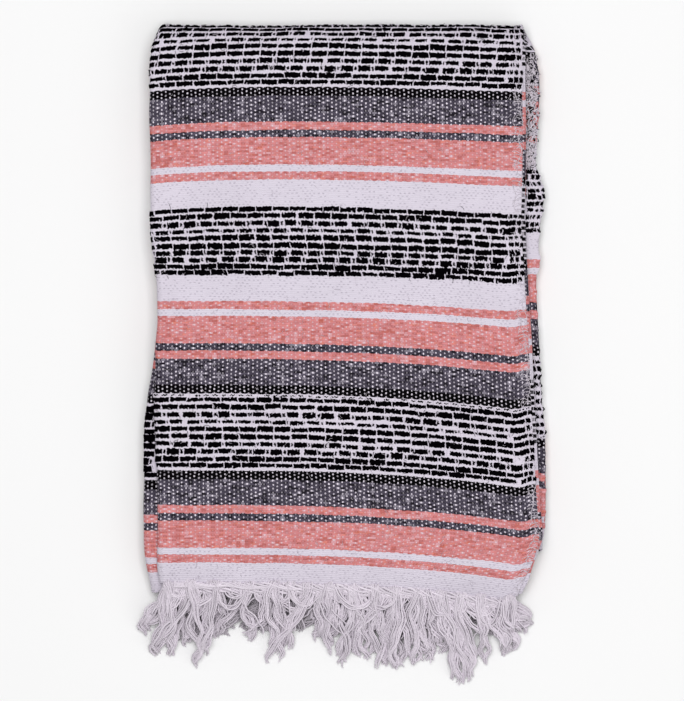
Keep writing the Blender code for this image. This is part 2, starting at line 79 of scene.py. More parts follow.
sideRows = (
    (-206, -153.0, 147.0, -160.0, 150.0, -154.0, 166.0, 0.945),
    (-190, -154.1, 152.6, -163.1, 153.0, -154.0, 167.0, 0.947),
    (-178, -155.0, 159.4, -165.5, 158.6, -154.0, 168.0, 0.950),
    (-157, -155.8, 165.9, -167.2, 164.0, -154.0, 169.3, 0.955),
    (-148, -156.0, 165.2, -167.2, 164.5, -154.2, 171.0, 0.955),
    (-123, -156.2, 163.2, -167.2, 164.5, -155.0, 171.7, 0.950),
    (-73, -156.7, 160.3, -167.2, 164.0, -155.0, 171.3, 0.945),
    (-31, -157.9, 158.0, -163.5, 161.0, -154.0, 167.7, 0.955),
    (3, -157.1, 156.7, -157.5, 160.0, -153.0, 166.3, 0.970),
    (57, -155.4, 153.3, -152.5, 156.5, -152.0, 163.4, 0.975),
    (108, -160.9, 150.0, -156.5, 154.0, -155.0, 166.7, 0.985),
    (137, -161.7, 150.9, -157.0, 154.5, -156.0, 171.0, 0.990),
    (158, -161.7, 151.3, -157.5, 154.5, -156.0, 162.5, 0.995),
    (200, -162.0, 151.3, -158.0, 154.5, -156.5, 165.8, 1.000),
    (234, -162.5, 150.8, -158.5, 154.0, -157.0, 166.4, 0.995),
    (254, -160.8, 150.8, -158.0, 153.0, -157.0, 162.4, 0.985),
    (267, -157.6, 150.4, -155.5, 152.0, -154.5, 161.5, 0.985),
    (278, -152.5, 149.6, -152.0, 150.6, -151.5, 155.5, 0.985),
)

roll = stack["height"] / 2
quarter = stack["height"] / 4
rollY = stack["topY"] - roll
straight = rollY - stack["frontEndY"]
floorRun = straight + math.pi * roll
fold = quarter - stack["seam"] / 2
foldY = stack["bottomFoldY"] + fold
foldRun = floorRun + rollY - foldY
lobe = (quarter - stack["seam"]) / 2
innerLobeDepth = quarter + stack["seam"] / 2 + lobe - 0.05 * mm
edge = stack["cloth"] / 2
covered = stack["cloth"] + 1.5 * stack["seam"]
axisLeft = -140.0 * mm
axisRight = 135.5 * mm


def smooth(t):
    t = np.clip(t, 0.0, 1.0)
    return t * t * (3.0 - 2.0 * t)


def softened():  # the stack's edges every 2 mm, with the stations' corners rounded away
    rows = np.array(sideRows)
    ys = rows[:, 0] * mm
    fine = np.arange(ys[0], ys[-1] + mm, 2 * mm)
    window = np.hanning(13) / np.hanning(13).sum()
    table = {"y": fine}
    for name, values in zip(sideColumns[1:], rows[:, 1:].T):
        scale = 1.0 if name == "thick" else mm
        padded = np.pad(np.interp(fine, ys, values * scale), 6, mode="edge")
        table[name] = np.convolve(padded, window, "valid")
    return table


sideTable = softened()


def side(name, y):
    return np.interp(y, sideTable["y"], sideTable[name])


def settled(x, y, z):  # from the ideal stack to where the softer, real one lies
    over = np.maximum((foldY - y) / stack["droopLength"], 0.0)
    droop = np.where(z > stack["height"] / 2 - 0.01 * mm, stack["droop"] * over ** 2, 0.0)
    thin = side("thick", y) * (1.0 - stack["thinRight"] * (x - stack["thinFrom"]) / stack["thinAcross"])
    return np.stack(np.broadcast_arrays(x, y, z * thin - droop), axis=-1)


def weftShift(across, run):  # how far a weft row lies below its straight line; across goes from 0 to 1
    past = (straight + stack["bowPastTop"] - run) / stack["bowFade"]
    upper = smooth((run - stack["bowFrom"]) / stack["bowGrowth"]) * smooth(past)
    lower = smooth((stack["sagEnd"] - run) / stack["sagGrowth"])
    bow = np.sin(math.pi * np.clip(across, 0.0, 1.0) ** stack["bowLean"])
    turned = smooth((across - stack["turnUpFrom"]) / (1.0 - stack["turnUpFrom"]))
    shift = stack["sag"] * across ** 3 * lower - stack["bow"] * bow * upper
    return shift - stack["turnUp"] * turned * lower


def onStrip(run, depth):  # (y, z) on the front, round the roll and on the floor, below the outer face
    turn = np.clip((run - straight) / roll, 0.0, math.pi)
    reach = roll - depth
    y = rollY - np.maximum(straight - run, 0.0) - np.maximum(run - floorRun, 0.0) + reach * np.sin(turn)
    return y, roll + reach * np.cos(turn)


def roundFold(run, depth):  # the same, and on round the bottom fold
    y, z = onStrip(run, depth)
    turn = np.clip((run - foldRun) / fold, 0.0, math.pi)
    past = np.maximum(run - foldRun - math.pi * fold, 0.0)
    reach = fold - depth
    folded = run > foldRun
    y = np.where(folded, foldY - reach * np.sin(turn) + past, y)
    return y, np.where(folded, fold - reach * np.cos(turn), z)


def rollShare(run):  # 0 on the front, 1 on the floor
    return np.clip((run - straight) / (math.pi * roll), 0.0, 1.0)


def sidesAt(layer, share, y, past=0.0):  # a layer's left and right, from its own at the top to the floor's
    left = (1 - share) * side(layer + "Left", y) + share * side("lowerLeft", y)
    right = (1 - share) * side(layer + "Right", y) + share * (side("lowerRight", y) - past)
    return left, right


def outerSides(run, y):
    return sidesAt("front", rollShare(run), y, stack["pastLower"])


def wrapAcross(across, lift, left, right):  # (x, depth): flat, then round the left fold, or the selvedge
    centre = left + lobe
    flat = np.clip(across / stack["width"], 0.0, 1.0)
    turn = np.maximum(-across, 0.0) / lobe
    over = np.maximum(across - stack["width"], 0.0) / edge
    x = centre + (right - edge - centre) * flat - (lobe + lift) * np.sin(turn) + (edge + lift) * np.sin(over)
    depth = -lift + (lobe + lift) * (1 - np.cos(turn)) + (edge + lift) * (1 - np.cos(over))
    return x, depth


def overEnd(run, lift):  # (run, extra depth) of rows that turn down over the fringed edge
    turn = np.maximum(-run, 0.0) / edge
    return np.where(run < 0, -(edge + lift) * np.sin(turn), run), (edge + lift) * (1 - np.cos(turn))


def frontPlace(across, run, lift):
    run, extra = overEnd(run, lift)
    left = outerSides(run, onStrip(run, 0.0)[0])[0]
    right = outerSides(run, onStrip(run - weftShift(1.0, run), 0.0)[0])[1]
    x, depth = wrapAcross(across, lift, left, right)
    shifted = run - weftShift(np.clip((x - left) / (right - left), 0.0, 1.0), run)
    return settled(x, *onStrip(shifted, depth + extra))


def backPlace(across, run, lift):
    y = roundFold(run, 0.0)[0]
    left, right = outerSides(run, y)
    nearFold = (foldY + stack["cornerLength"] - y) / stack["cornerLength"]
    right = right + stack["cornerOut"] * smooth(nearFold * stack["cornerSteep"])
    x, depth = wrapAcross(across, lift, left, right)
    return settled(x, *roundFold(run, depth))


def secondPlace(across, run, lift):
    run, extra = overEnd(run, lift)
    y = stack["underEndY"] + run
    radius = stack["innerLobe"]
    turn = np.maximum(-across, 0.0) / radius
    x = side("underLeft", y) + radius + np.maximum(across, 0.0) - (radius + lift) * np.sin(turn)
    depth = innerLobeDepth - (radius + lift) * np.cos(turn) + extra
    return settled(x, y, stack["height"] - depth)


lowerStrip = {
    "width": 31 * mm,
    "start": axisRight + 0.5 * mm,
    "inset": 0.3 * mm,
    "edgeWaves": ((0.55, 640.0, 0.0), (0.45, 377.0, 1.0), (0.25, 1310.0, 0.0)),  # height in mm, rate, phase
    "sink": 0.8 * mm,
    "bulge": 3.0 * mm,
    "bulgeY": 77.0 * mm,
    "bulgeLength": 7.0 * mm,
    "slip": 9.0 * mm,
    "slipFrom": stack["lowerRun"] + 190 * mm,
    "slipLength": 140 * mm,
    "first": stack["lowerRun"] + 2 * mm,
    "last": stack["lowerRun"] + rollY - stack["slotY"] - stack["seam"] - 9.0 * mm,
    "seed": 5.3,
    "soft": 0.5,
    "quietSide": 4 * mm,
    "floats": (12 * mm, 25 * mm),
    "period": 7.6 * mm,
    "edgeFloats": (25 * mm, 33.4 * mm),
    "edgePeriod": 4.0 * mm,
    "edgeFloatWidth": 0.8,
}


def lowerPlace(across, run, lift):  # across is measured from the hidden edge of the strip to its selvedge
    slipped = lowerStrip["slip"] * smooth((run - lowerStrip["slipFrom"]) / lowerStrip["slipLength"])
    y = rollY + stack["lowerRun"] - run - slipped
    waves = sum(height * np.sin(y * rate + phase) for height, rate, phase in lowerStrip["edgeWaves"])
    bulge = lowerStrip["bulge"] * np.exp(-((y - lowerStrip["bulgeY"]) / lowerStrip["bulgeLength"]) ** 2)
    right = side("lowerRight", y) - edge - lowerStrip["inset"] + waves * mm + bulge
    flat = np.clip(across / lowerStrip["width"], 0.0, 1.0)
    over = np.maximum(across - lowerStrip["width"], 0.0) / edge
    x = lowerStrip["start"] + (right - lowerStrip["start"]) * flat + (edge + lift) * np.sin(over)
    sunk = lowerStrip["sink"] * flat ** 6 + (edge + lift) * (1 - np.cos(over))
    return settled(x, y, stack["height"] / 2 - stack["seam"] - sunk + lift)


# Shared making of meshes

# the stack's middle, which faces point away from
heart = {"narrow": 0.9, "fromY": -0.13, "toY": 0.24, "z": 0.018}


def newObject(name, mesh, material):
    made = bpy.data.objects.new(name, mesh)
    bpy.context.scene.collection.objects.link(made)
    mesh.materials.clear()
    mesh.materials.append(material)
    mesh.shade_smooth()
    return made


def keepFlatPlace(mesh, flat):  # each point's place on the flat cloth, in metres, as the piece's own UV map
    layer = mesh.uv_layers.new(name="clothPlace")
    corners = np.empty(len(mesh.loops), np.int32)
    mesh.loops.foreach_get("vertex_index", corners)
    layer.data.foreach_set("uv", flat[corners].astype(np.float32).ravel())


def gridFaces(rows, columns):
    index = np.arange(rows * columns).reshape(rows, columns)
    return np.stack([index[:-1, :-1], index[:-1, 1:], index[1:, 1:], index[1:, :-1]], axis=-1).reshape(-1, 4)


def gridMesh(name, points, flat):  # rows and columns of points, faced outwards
    faces = gridFaces(*points.shape[:2])
    corners = points.reshape(-1, 3)[faces]
    normals = np.cross(corners[:, 2] - corners[:, 0], corners[:, 3] - corners[:, 1])
    x, y, z = corners.mean(1).T
    near = np.clip(y, heart["fromY"], heart["toY"])
    inside = np.stack([x * heart["narrow"], near, np.full_like(x, heart["z"])], axis=-1)
    if (normals * (corners.mean(1) - inside)).sum() < 0:
        faces = faces[:, ::-1]
    mesh = bpy.data.meshes.new(name)
    mesh.from_pydata(points.reshape(-1, 3).tolist(), [], faces.tolist())
    keepFlatPlace(mesh, flat.reshape(-1, 2))
    return mesh


def sheetPiece(name, acrosses, runs, place, liftOf, material):
    across, run = np.meshgrid(acrosses, runs)
    points = place(across, run, liftOf(across, run))
    return newObject(name, gridMesh(name, points, np.stack([across, run], axis=-1)), material)


rumples = {
    "swing": 0.8,
    "swingRate": 0.43,
    "rows": (  # height in millimetres, length of its wave across and along, phase
        (0.42, 0.210, 0.090, 0.3),
        (0.36, -0.130, 0.160, 2.1),
        (0.26, 0.071, -0.113, 4.0),
        (0.20, 0.052, 0.047, 1.2),
        (0.12, -0.031, 0.058, 5.2),
    ),
}


def rumpled(across, run, seed=0.0):  # soft unevenness of cloth that was folded by hand
    total = 0.0
    for height, acrossWave, runWave, phase in rumples["rows"]:
        turn = 2 * math.pi * (across / acrossWave + run / runWave) + phase + seed
        swung = turn + rumples["swing"] * np.sin(turn * rumples["swingRate"] + phase)
        total = total + height * mm * np.sin(swung)
    return total


# Stripes and weave

threads = {
    "floatHeight": 1.0 * mm,
    "tieSize": (1.3 * mm, 6.2 * mm, 1.75 * mm),
    "sizeChange": 0.10,
    "turnChange": 0.05,
    "drift": 0.24 * mm,
    "swell": 0.15,
    "swellWave": 93.0 * mm,
    "uneven": 0.40 * mm,
    "frayed": 0.16 * mm,
    "notches": 0.55,
    "edgeRow": 4.6 * mm,
    "edgePeriod": 5.2 * mm,
    "lengthChange": 0.05,
    "dots": 0.85,
    "tieTurn": 0.12,
}
bands = {
    "first": 126.3 * mm,  # middle of the first float band, from the fringed edge
    "step": 158.9 * mm,
    "widths": (65.6 * mm, 56.4 * mm),
    "period": 14.5 * mm,
    "ribHeight": 0.55 * mm,
    "ribReach": 1.2 * mm,
    "columns": ("atWide", "atNarrow", "stagger", "length", "width", "dot"),
    "rows": (  # at: share of the band. stagger, length and dot: shares of the period. width in millimetres
        (0.967, 1.020, 0.20, 0.32, 1.2, 0.24),
        (0.912, 0.932, 0.00, 1.05, 4.1, 0.00),
        (0.819, 0.839, 0.54, 1.05, 4.8, 0.00),
        (0.720, 0.730, 0.63, 0.81, 4.8, 0.13),
        (0.627, 0.633, 0.91, 0.76, 3.3, 0.08),
        (0.535, 0.536, 0.03, 1.03, 4.7, 0.00),
        (0.438, 0.427, 0.06, 1.04, 4.9, 0.00),
        (0.342, 0.332, 0.94, 0.82, 4.4, 0.10),
        (0.247, 0.236, 0.68, 0.81, 4.9, 0.12),
        (0.152, 0.136, 0.59, 1.05, 4.7, 0.00),
        (0.073, 0.050, 0.15, 1.04, 4.2, 0.00),
    ),
}
whiteYarn = (0.650, 0.600, 0.685)
pinkYarn = (0.600, 0.222, 0.230)
greyYarn = (0.064, 0.055, 0.078)
blackYarn = (0.0012, 0.0008, 0.0014)
stripes = {
    "wanderScale": (28.0, 90.0),
    "wander": 1.6 * mm,
    "tooth": 0.35 * mm,
    "rows": (  # distance in millimetres from the middle of a wide float band, and what starts there
        (0.0, whiteYarn, "floatBand"),
        (32.0, blackYarn, "blackLine"),
        (39.3, greyYarn, "greyHeather"),
        (61.15, pinkYarn, "pinkHeather"),
        (67.95, greyYarn, "greyHeather"),
        (74.05, pinkYarn, "pinkHeather"),
        (97.05, whiteYarn, "plain"),
        (102.85, pinkYarn, "pinkHeather"),
        (109.65, whiteYarn, "plain"),
        (130.65, whiteYarn, "floatBand"),
    ),
    "marks": {  # red: heathered yarn, half for pink and full for grey. green: black line. blue: float band
        "floatBand": (0, 0, 1, 1),
        "blackLine": (0, 1, 0, 1),
        "greyHeather": (1, 0, 0, 1),
        "pinkHeather": (0.5, 0, 0, 1),
        "plain": (0, 0, 0, 1),
    },
}
weave = {
    "fine": {"Warp pitch": 3.64 * mm, "Weft pitch": 1.63 * mm, "Bead width": 0.21, "Bead height": 0.56},
    "dashes": {"Warp pitch": 1.9 * mm, "Weft pitch": 2.3 * mm, "Bead width": 0.3, "Bead height": 0.3},
    "jogScale": 210.0,
    "jogAcross": 0.5,
    "jogAlong": 1.0,
    "beadSharpness": 2.6,
    "warpRelief": 0.9,
    "weftRelief": 0.75,
    "gapBelow": -0.12,
    "gapWidth": 0.46,
}


def feed(tree, socket, value):  # links a socket, or sets a plain value
    if isinstance(value, bpy.types.NodeSocket):
        tree.links.new(value, socket)
    else:
        socket.default_value = value


def addNode(tree, kind, inputs=None, **settings):
    made = tree.nodes.new(kind)
    for name, value in settings.items():
        setattr(made, name, value)
    for key, value in (inputs or {}).items():
        feed(tree, made.inputs[key], value)
    return made


def calc(tree, operation, a, b=0.0, c=0.0, clamp=False):
    made = addNode(tree, "ShaderNodeMath", {0: a, 1: b, 2: c}, operation=operation, use_clamp=clamp)
    return made.outputs[0]


def product(tree, *values):
    total = values[0]
    for value in values[1:]:
        total = calc(tree, "MULTIPLY", total, value)
    return total


def scaled(tree, value, factor, offset):
    return calc(tree, "MULTIPLY_ADD", value, factor, offset)


def blendColour(tree, factor, a, b, mode="MIX"):
    made = addNode(tree, "ShaderNodeMix", {0: factor}, data_type="RGBA", blend_type=mode)
    for key, colour in ((6, a), (7, b)):
        feed(tree, made.inputs[key], (*colour, 1.0) if isinstance(colour, tuple) else colour)
    return made.outputs[2]


def greyOf(tree, value):
    return addNode(tree, "ShaderNodeCombineColor", {0: value, 1: value, 2: value}).outputs[0]


def darkened(tree, colour, value):
    return blendColour(tree, 1.0, colour, greyOf(tree, value), "MULTIPLY")


def vectorOf(tree, x, y, z=0.0):
    return addNode(tree, "ShaderNodeCombineXYZ", {0: x, 1: y, 2: z}).outputs[0]


def clothNoise(tree, across, along, acrossScale, alongScale, detail=2.0):
    place = vectorOf(tree, product(tree, across, acrossScale), product(tree, along, alongScale))
    return addNode(tree, "ShaderNodeTexNoise", {"Vector": place, "Scale": 1.0, "Detail": detail}).outputs


def shaderGroup(name, inputs, outputs):
    tree = bpy.data.node_groups.new(name, "ShaderNodeTree")
    for direction, labels in (("INPUT", inputs), ("OUTPUT", outputs)):
        for label in labels:
            kind = "NodeSocketColor" if label.endswith("colour") else "NodeSocketFloat"
            tree.interface.new_socket(label, in_out=direction, socket_type=kind)
    return tree, addNode(tree, "NodeGroupInput").outputs, addNode(tree, "NodeGroupOutput")


def closeGroup(tree, end, values):
    for name, socket in values.items():
        tree.links.new(socket, end.inputs[name])
    return tree


def constantRamp(tree, factor, stops):
    ramp = addNode(tree, "ShaderNodeValToRGB", {0: factor})
    ramp.color_ramp.interpolation = "CONSTANT"
    elements = ramp.color_ramp.elements
    for number, (place, colour) in enumerate(stops):
        stop = elements[number] if number < len(elements) else elements.new(place)
        stop.position = place
        stop.color = colour
    return ramp.outputs[0]


def stripeGroup():
    tree, given, end = shaderGroup(
        "stripe plan", ("Across", "Along"), ("Yarn colour", "Heather", "Grey", "Black line", "Float band"),
    )
    wander = clothNoise(tree, given["Across"], given["Along"], *stripes["wanderScale"], 1.0)[0]
    along = scaled(tree, calc(tree, "SUBTRACT", wander, 0.5), stripes["wander"], given["Along"])
    column = calc(tree, "FLOOR", calc(tree, "DIVIDE", given["Across"], weave["fine"]["Warp pitch"]))
    along = scaled(tree, calc(tree, "PINGPONG", column, 1.0), stripes["tooth"], along)
    distance = calc(tree, "PINGPONG", calc(tree, "SUBTRACT", along, bands["first"]), bands["step"])
    share = calc(tree, "DIVIDE", distance, bands["step"])
    stops = [(start * mm / bands["step"], yarn, kind) for start, yarn, kind in stripes["rows"]]
    colour = constantRamp(tree, share, [(place, (*yarn, 1.0)) for place, yarn, _ in stops])
    marks = constantRamp(tree, share, [(place, stripes["marks"][kind]) for place, _, kind in stops])
    parts = addNode(tree, "ShaderNodeSeparateColor", {0: marks}).outputs
    return closeGroup(tree, end, {
        "Yarn colour": colour,
        "Heather": calc(tree, "GREATER_THAN", parts[0], 0.25),
        "Grey": calc(tree, "GREATER_THAN", parts[0], 0.75),
        "Black line": parts[1],
        "Float band": parts[2],
    })


def weaveGroup():
    tree, given, end = shaderGroup(
        "plain weave", ("Across", "Along", "Warp pitch", "Weft pitch", "Bead width", "Bead height"),
        ("Warp over", "Relief", "Cell tone", "Gap"),
    )
    jog = clothNoise(tree, given["Across"], given["Along"], weave["jogScale"], weave["jogScale"], 1.0)[1]
    jogs = addNode(tree, "ShaderNodeSeparateColor", {0: jog}).outputs
    warp = calc(tree, "ADD", calc(tree, "DIVIDE", given["Across"], given["Warp pitch"]),
                scaled(tree, jogs[0], weave["jogAcross"], -weave["jogAcross"] / 2))
    weft = calc(tree, "ADD", calc(tree, "DIVIDE", given["Along"], given["Weft pitch"]),
                scaled(tree, jogs[1], weave["jogAlong"], -weave["jogAlong"] / 2))
    column, pick = calc(tree, "FLOOR", warp), calc(tree, "FLOOR", weft)
    inWarp = calc(tree, "SUBTRACT", calc(tree, "FRACT", warp), 0.5)
    inWeft = calc(tree, "SUBTRACT", calc(tree, "FRACT", weft), 0.5)
    over = calc(tree, "PINGPONG", calc(tree, "ADD", column, pick), 1.0)
    place = vectorOf(tree, column, pick)
    cell = addNode(tree, "ShaderNodeTexWhiteNoise", {"Vector": place}, noise_dimensions="2D").outputs[0]
    wide = calc(tree, "POWER", calc(tree, "DIVIDE", inWarp, given["Bead width"]), 2.0)
    tall = calc(tree, "POWER", calc(tree, "DIVIDE", inWeft, given["Bead height"]), 2.0)
    bead = calc(tree, "SUBTRACT", 1.0, calc(tree, "ADD", wide, tall))
    warpOver = product(tree, over, calc(tree, "MULTIPLY", bead, weave["beadSharpness"], clamp=True))
    weftRound = calc(tree, "COSINE", product(tree, inWeft, math.pi))
    relief = calc(tree, "MAXIMUM", product(tree, warpOver, weave["warpRelief"]),
                  product(tree, weftRound, weave["weftRelief"]))
    gap = product(tree, over, calc(tree, "LESS_THAN", inWeft, weave["gapBelow"]),
                  calc(tree, "LESS_THAN", calc(tree, "ABSOLUTE", inWarp), weave["gapWidth"]))
    return closeGroup(tree, end, {
        "Warp over": warpOver, "Relief": relief, "Cell tone": cell, "Gap": gap,
    })


stripePlan = stripeGroup()
plainWeave = weaveGroup()
print("stripe and weave groups built")


def startMaterial(name, roughness, specular, sheen):
    made = bpy.data.materials.new(name)
    made.use_nodes = True
    shader = made.node_tree.nodes["Principled BSDF"]
    shader.inputs["Roughness"].default_value = roughness
    shader.inputs["Specular IOR Level"].default_value = specular
    shader.inputs["Sheen Weight"].default_value = sheen
    shader.inputs["Sheen Roughness"].default_value = 0.6
    return made, made.node_tree, shader


def finishMaterial(tree, shader, colour, height, strength, distance):
    tree.links.new(colour, shader.inputs["Base Color"])
    bump = addNode(tree, "ShaderNodeBump", {"Strength": strength, "Distance": distance, "Height": height})
    tree.links.new(bump.outputs[0], shader.inputs["Normal"])


def clothUv(tree):
    place = addNode(tree, "ShaderNodeUVMap", uv_map="clothPlace")
    return addNode(tree, "ShaderNodeSeparateXYZ", {0: place.outputs[0]}).outputs


def useGroup(tree, group, inputs):
    made = addNode(tree, "ShaderNodeGroup", node_tree=group)
    for name, value in inputs.items():
        feed(tree, made.inputs[name], value)
    return made.outputs


clothLook = {
    "fibreScale": (420.0, 1500.0),
    "cloudScale": (110.0, 700.0),
    "blotchScale": (150.0, 420.0, 1.0),
    "mottleScale": (24.0, 24.0, 3.0),
    "orange": (0.66, 0.20, 0.135),
    "paleFrom": 0.90,
    "speckBelow": 0.16,
    "pinkSpeck": (0.88, 0.66, 0.60),
    "greySpeck": (0.22, 0.20, 0.22),
    "dashFrom": 0.45,
    # painted shade in the gaps of the plain white
    "gapShadeColour": (0.33, 0.29, 0.36),
    "dotColour": (0.72, 0.66, 0.74),
    "bump": (0.75, 0.45 * mm),
}


def wornYarn(tree, stripe, fine, across, along):  # the yarns' colours, worn, with fibres and paler picks
    heather, grey, cellTone = stripe["Heather"], stripe["Grey"], fine["Cell tone"]
    fibres = clothNoise(tree, across, along, *clothLook["fibreScale"])[0]
    cloudy = clothNoise(tree, across, along, *clothLook["cloudScale"])[0]
    blotchy = clothNoise(tree, across, along, *clothLook["blotchScale"])[0]
    tone = scaled(tree, fibres, 0.9, scaled(tree, cloudy, 0.9, -0.45))
    tone = calc(tree, "ADD", tone, scaled(tree, cellTone, 0.40, 0.30))
    tone = calc(tree, "POWER", tone, scaled(tree, grey, 1.5, 0.6))
    pink = calc(tree, "SUBTRACT", heather, grey)
    orange = product(tree, calc(tree, "SUBTRACT", blotchy, 0.52, clamp=True), 4.0, pink)
    orange = calc(tree, "MULTIPLY", orange, 0.75, clamp=True)
    clothColour = blendColour(tree, orange, stripe["Yarn colour"], clothLook["orange"])
    clothColour = blendColour(tree, product(tree, heather, 0.85), clothColour, darkened(tree, clothColour, tone))
    pale = product(tree, calc(tree, "GREATER_THAN", cellTone, clothLook["paleFrom"]), heather, 0.25)
    clothColour = blendColour(tree, pale, clothColour, whiteYarn)
    speck = product(tree, calc(tree, "LESS_THAN", cellTone, clothLook["speckBelow"]), heather, 0.8)
    speckTint = blendColour(tree, grey, clothLook["pinkSpeck"], clothLook["greySpeck"])
    return blendColour(tree, speck, clothColour, blendColour(tree, 1.0, clothColour, speckTint, "MULTIPLY")), fibres


def gapShadeMask(tree, stripe, across, along):  # painted shade: the small dark gaps in the plain white, where the weave's hollows would lie in shade
    dashes = useGroup(tree, plainWeave, {"Across": across, "Along": along, **weave["dashes"]})
    marked = calc(tree, "ADD", stripe["Black line"], stripe["Float band"])
    marked = calc(tree, "ADD", stripe["Heather"], marked, clamp=True)
    some = calc(tree, "GREATER_THAN", dashes["Cell tone"], clothLook["dashFrom"])
    return product(tree, some, dashes["Gap"], calc(tree, "SUBTRACT", 1.0, marked), 0.50)


def dotMask(tree, stripe, fine):  # white warp ends that show in the grey, the pink and the black line
    grey, cellTone = stripe["Grey"], fine["Cell tone"]
    heatherDots = product(tree, fine["Warp over"], stripe["Heather"], scaled(
        tree, cellTone, scaled(tree, grey, 0.45, 0.55), scaled(tree, grey, 0.16, 0.04)))
    lineDots = product(tree, fine["Warp over"], stripe["Black line"], scaled(tree, cellTone, 0.5, 0.4))
    return calc(tree, "ADD", heatherDots, lineDots, clamp=True)


def edgeBarMask(tree, stripe, across, along):  # floats of the inner edges, too squeezed to stand up
    row = calc(tree, "DIVIDE", along, threads["edgeRow"])
    shift = product(tree, calc(tree, "FLOOR", row), 0.56)
    column = calc(tree, "DIVIDE", across, threads["edgePeriod"])
    brick = calc(tree, "FRACT", calc(tree, "ADD", column, shift))
    fromMiddle = calc(tree, "ABSOLUTE", calc(tree, "SUBTRACT", calc(tree, "FRACT", row), 0.5))
    return product(tree, calc(tree, "GREATER_THAN", brick, 0.14), calc(tree, "LESS_THAN", fromMiddle, 0.33),
                   stripe["Float band"])


def wovenMaterial(name, paintedFloats):
    made, tree, shader = startMaterial(name, 0.95, 0.06, 0.0)
    across, along = clothUv(tree)[:2]
    stripe = useGroup(tree, stripePlan, {"Across": across, "Along": along})
    fine = useGroup(tree, plainWeave, {"Across": across, "Along": along, **weave["fine"]})
    clothColour, fibres = wornYarn(tree, stripe, fine, across, along)
    # painted shade: grey dashes in the gaps between the picks of the plain white
    clothColour = blendColour(tree, gapShadeMask(tree, stripe, across, along), clothColour, clothLook["gapShadeColour"])
    clothColour = blendColour(tree, dotMask(tree, stripe, fine), clothColour, clothLook["dotColour"])
    if paintedFloats:
        clothColour = blendColour(tree, edgeBarMask(tree, stripe, across, along), clothColour, blackYarn)
    mottle = clothNoise(tree, across, along, *clothLook["mottleScale"])[0]
    clothColour = darkened(tree, clothColour, scaled(tree, mottle, 0.16, 0.92))
    finishMaterial(tree, shader, clothColour, scaled(tree, fibres, 0.45, fine["Relief"]), *clothLook["bump"])
    return made


def floatMaterial():
    made, tree, shader = startMaterial("black float yarn", 1.0, 0.0, 0.0)
    across, along = clothUv(tree)[:2]
    fibres = clothNoise(tree, across, along, 190.0, 1900.0, 3.0)[0]
    lint = calc(tree, "MULTIPLY", calc(tree, "SUBTRACT", fibres, 0.60, clamp=True), 1.2, clamp=True)
    colour = blendColour(tree, lint, blackYarn, (0.020, 0.017, 0.023))
    finishMaterial(tree, shader, colour, fibres, 0.8, 0.5 * mm)
    return made


yarnLook = {"colour": (0.68, 0.62, 0.69), "twist": 3.6 * mm, "fuzzScale": 900.0, "bump": (0.6, 0.3 * mm)}


def yarnMaterial():
    made, tree, shader = startMaterial("fringe yarn", 0.93, 0.12, 0.15)
    along, around, tone = (
        addNode(tree, "ShaderNodeAttribute", attribute_name=label).outputs["Fac"]
        for label in ("yarnAlong", "yarnAround", "tone")
    )
    place = addNode(tree, "ShaderNodeTexCoord").outputs["Object"]
    turns = scaled(tree, along, 2 * math.pi / yarnLook["twist"], product(tree, around, 4 * math.pi))
    fuzz = addNode(tree, "ShaderNodeTexNoise", {
        "Vector": place, "Scale": yarnLook["fuzzScale"], "Detail": 3.0,
    }).outputs[0]
    # the twist's grooves: a bump, and painted shade in the colour on the next line, darker where the bump is
    # low
    groove = scaled(tree, calc(tree, "SINE", turns), 0.5, 0.5)
    # a yarn's tone: random, and lowered on the second fringe by painted shade
    value = scaled(tree, tone, 0.20, scaled(tree, groove, 0.10, 0.79))
    value = scaled(tree, fuzz, 0.14, value)
    colour = darkened(tree, yarnLook["colour"], value)
    finishMaterial(tree, shader, colour, scaled(tree, fuzz, 0.6, groove), *yarnLook["bump"])
    return made


wovenStripes = wovenMaterial("woven stripes", False)
innerStripes = wovenMaterial("woven stripes, inner edges", True)
floatYarn = floatMaterial()
fringeYarn = yarnMaterial()
print("materials built")


# Geometry Nodes trees

def geometryTree(name, inputs):
    tree = bpy.data.node_groups.new(name, "GeometryNodeTree")
    tree.is_modifier = True
    for label, kind in {"Geometry": "Geometry", **inputs}.items():
        tree.interface.new_socket(label, in_out="INPUT", socket_type="NodeSocket" + kind)
    tree.interface.new_socket("Geometry", in_out="OUTPUT", socket_type="NodeSocketGeometry")
    return tree, addNode(tree, "NodeGroupInput").outputs


def endTree(tree, geometry, material):
    realized = addNode(tree, "GeometryNodeRealizeInstances", {"Geometry": geometry}).outputs[0]
    finished = addNode(tree, "GeometryNodeSetMaterial", {"Geometry": realized, "Material": material})
    addNode(tree, "NodeGroupOutput", {"Geometry": finished.outputs[0]})
    return tree


def pointValue(tree, name, kind="FLOAT"):
    return addNode(tree, "GeometryNodeInputNamedAttribute", {"Name": name}, data_type=kind).outputs[0]


def storedValue(tree, geometry, name, value):
    return addNode(tree, "GeometryNodeStoreNamedAttribute",
                   {"Geometry": geometry, "Name": name, "Value": value}, data_type="FLOAT").outputs[0]


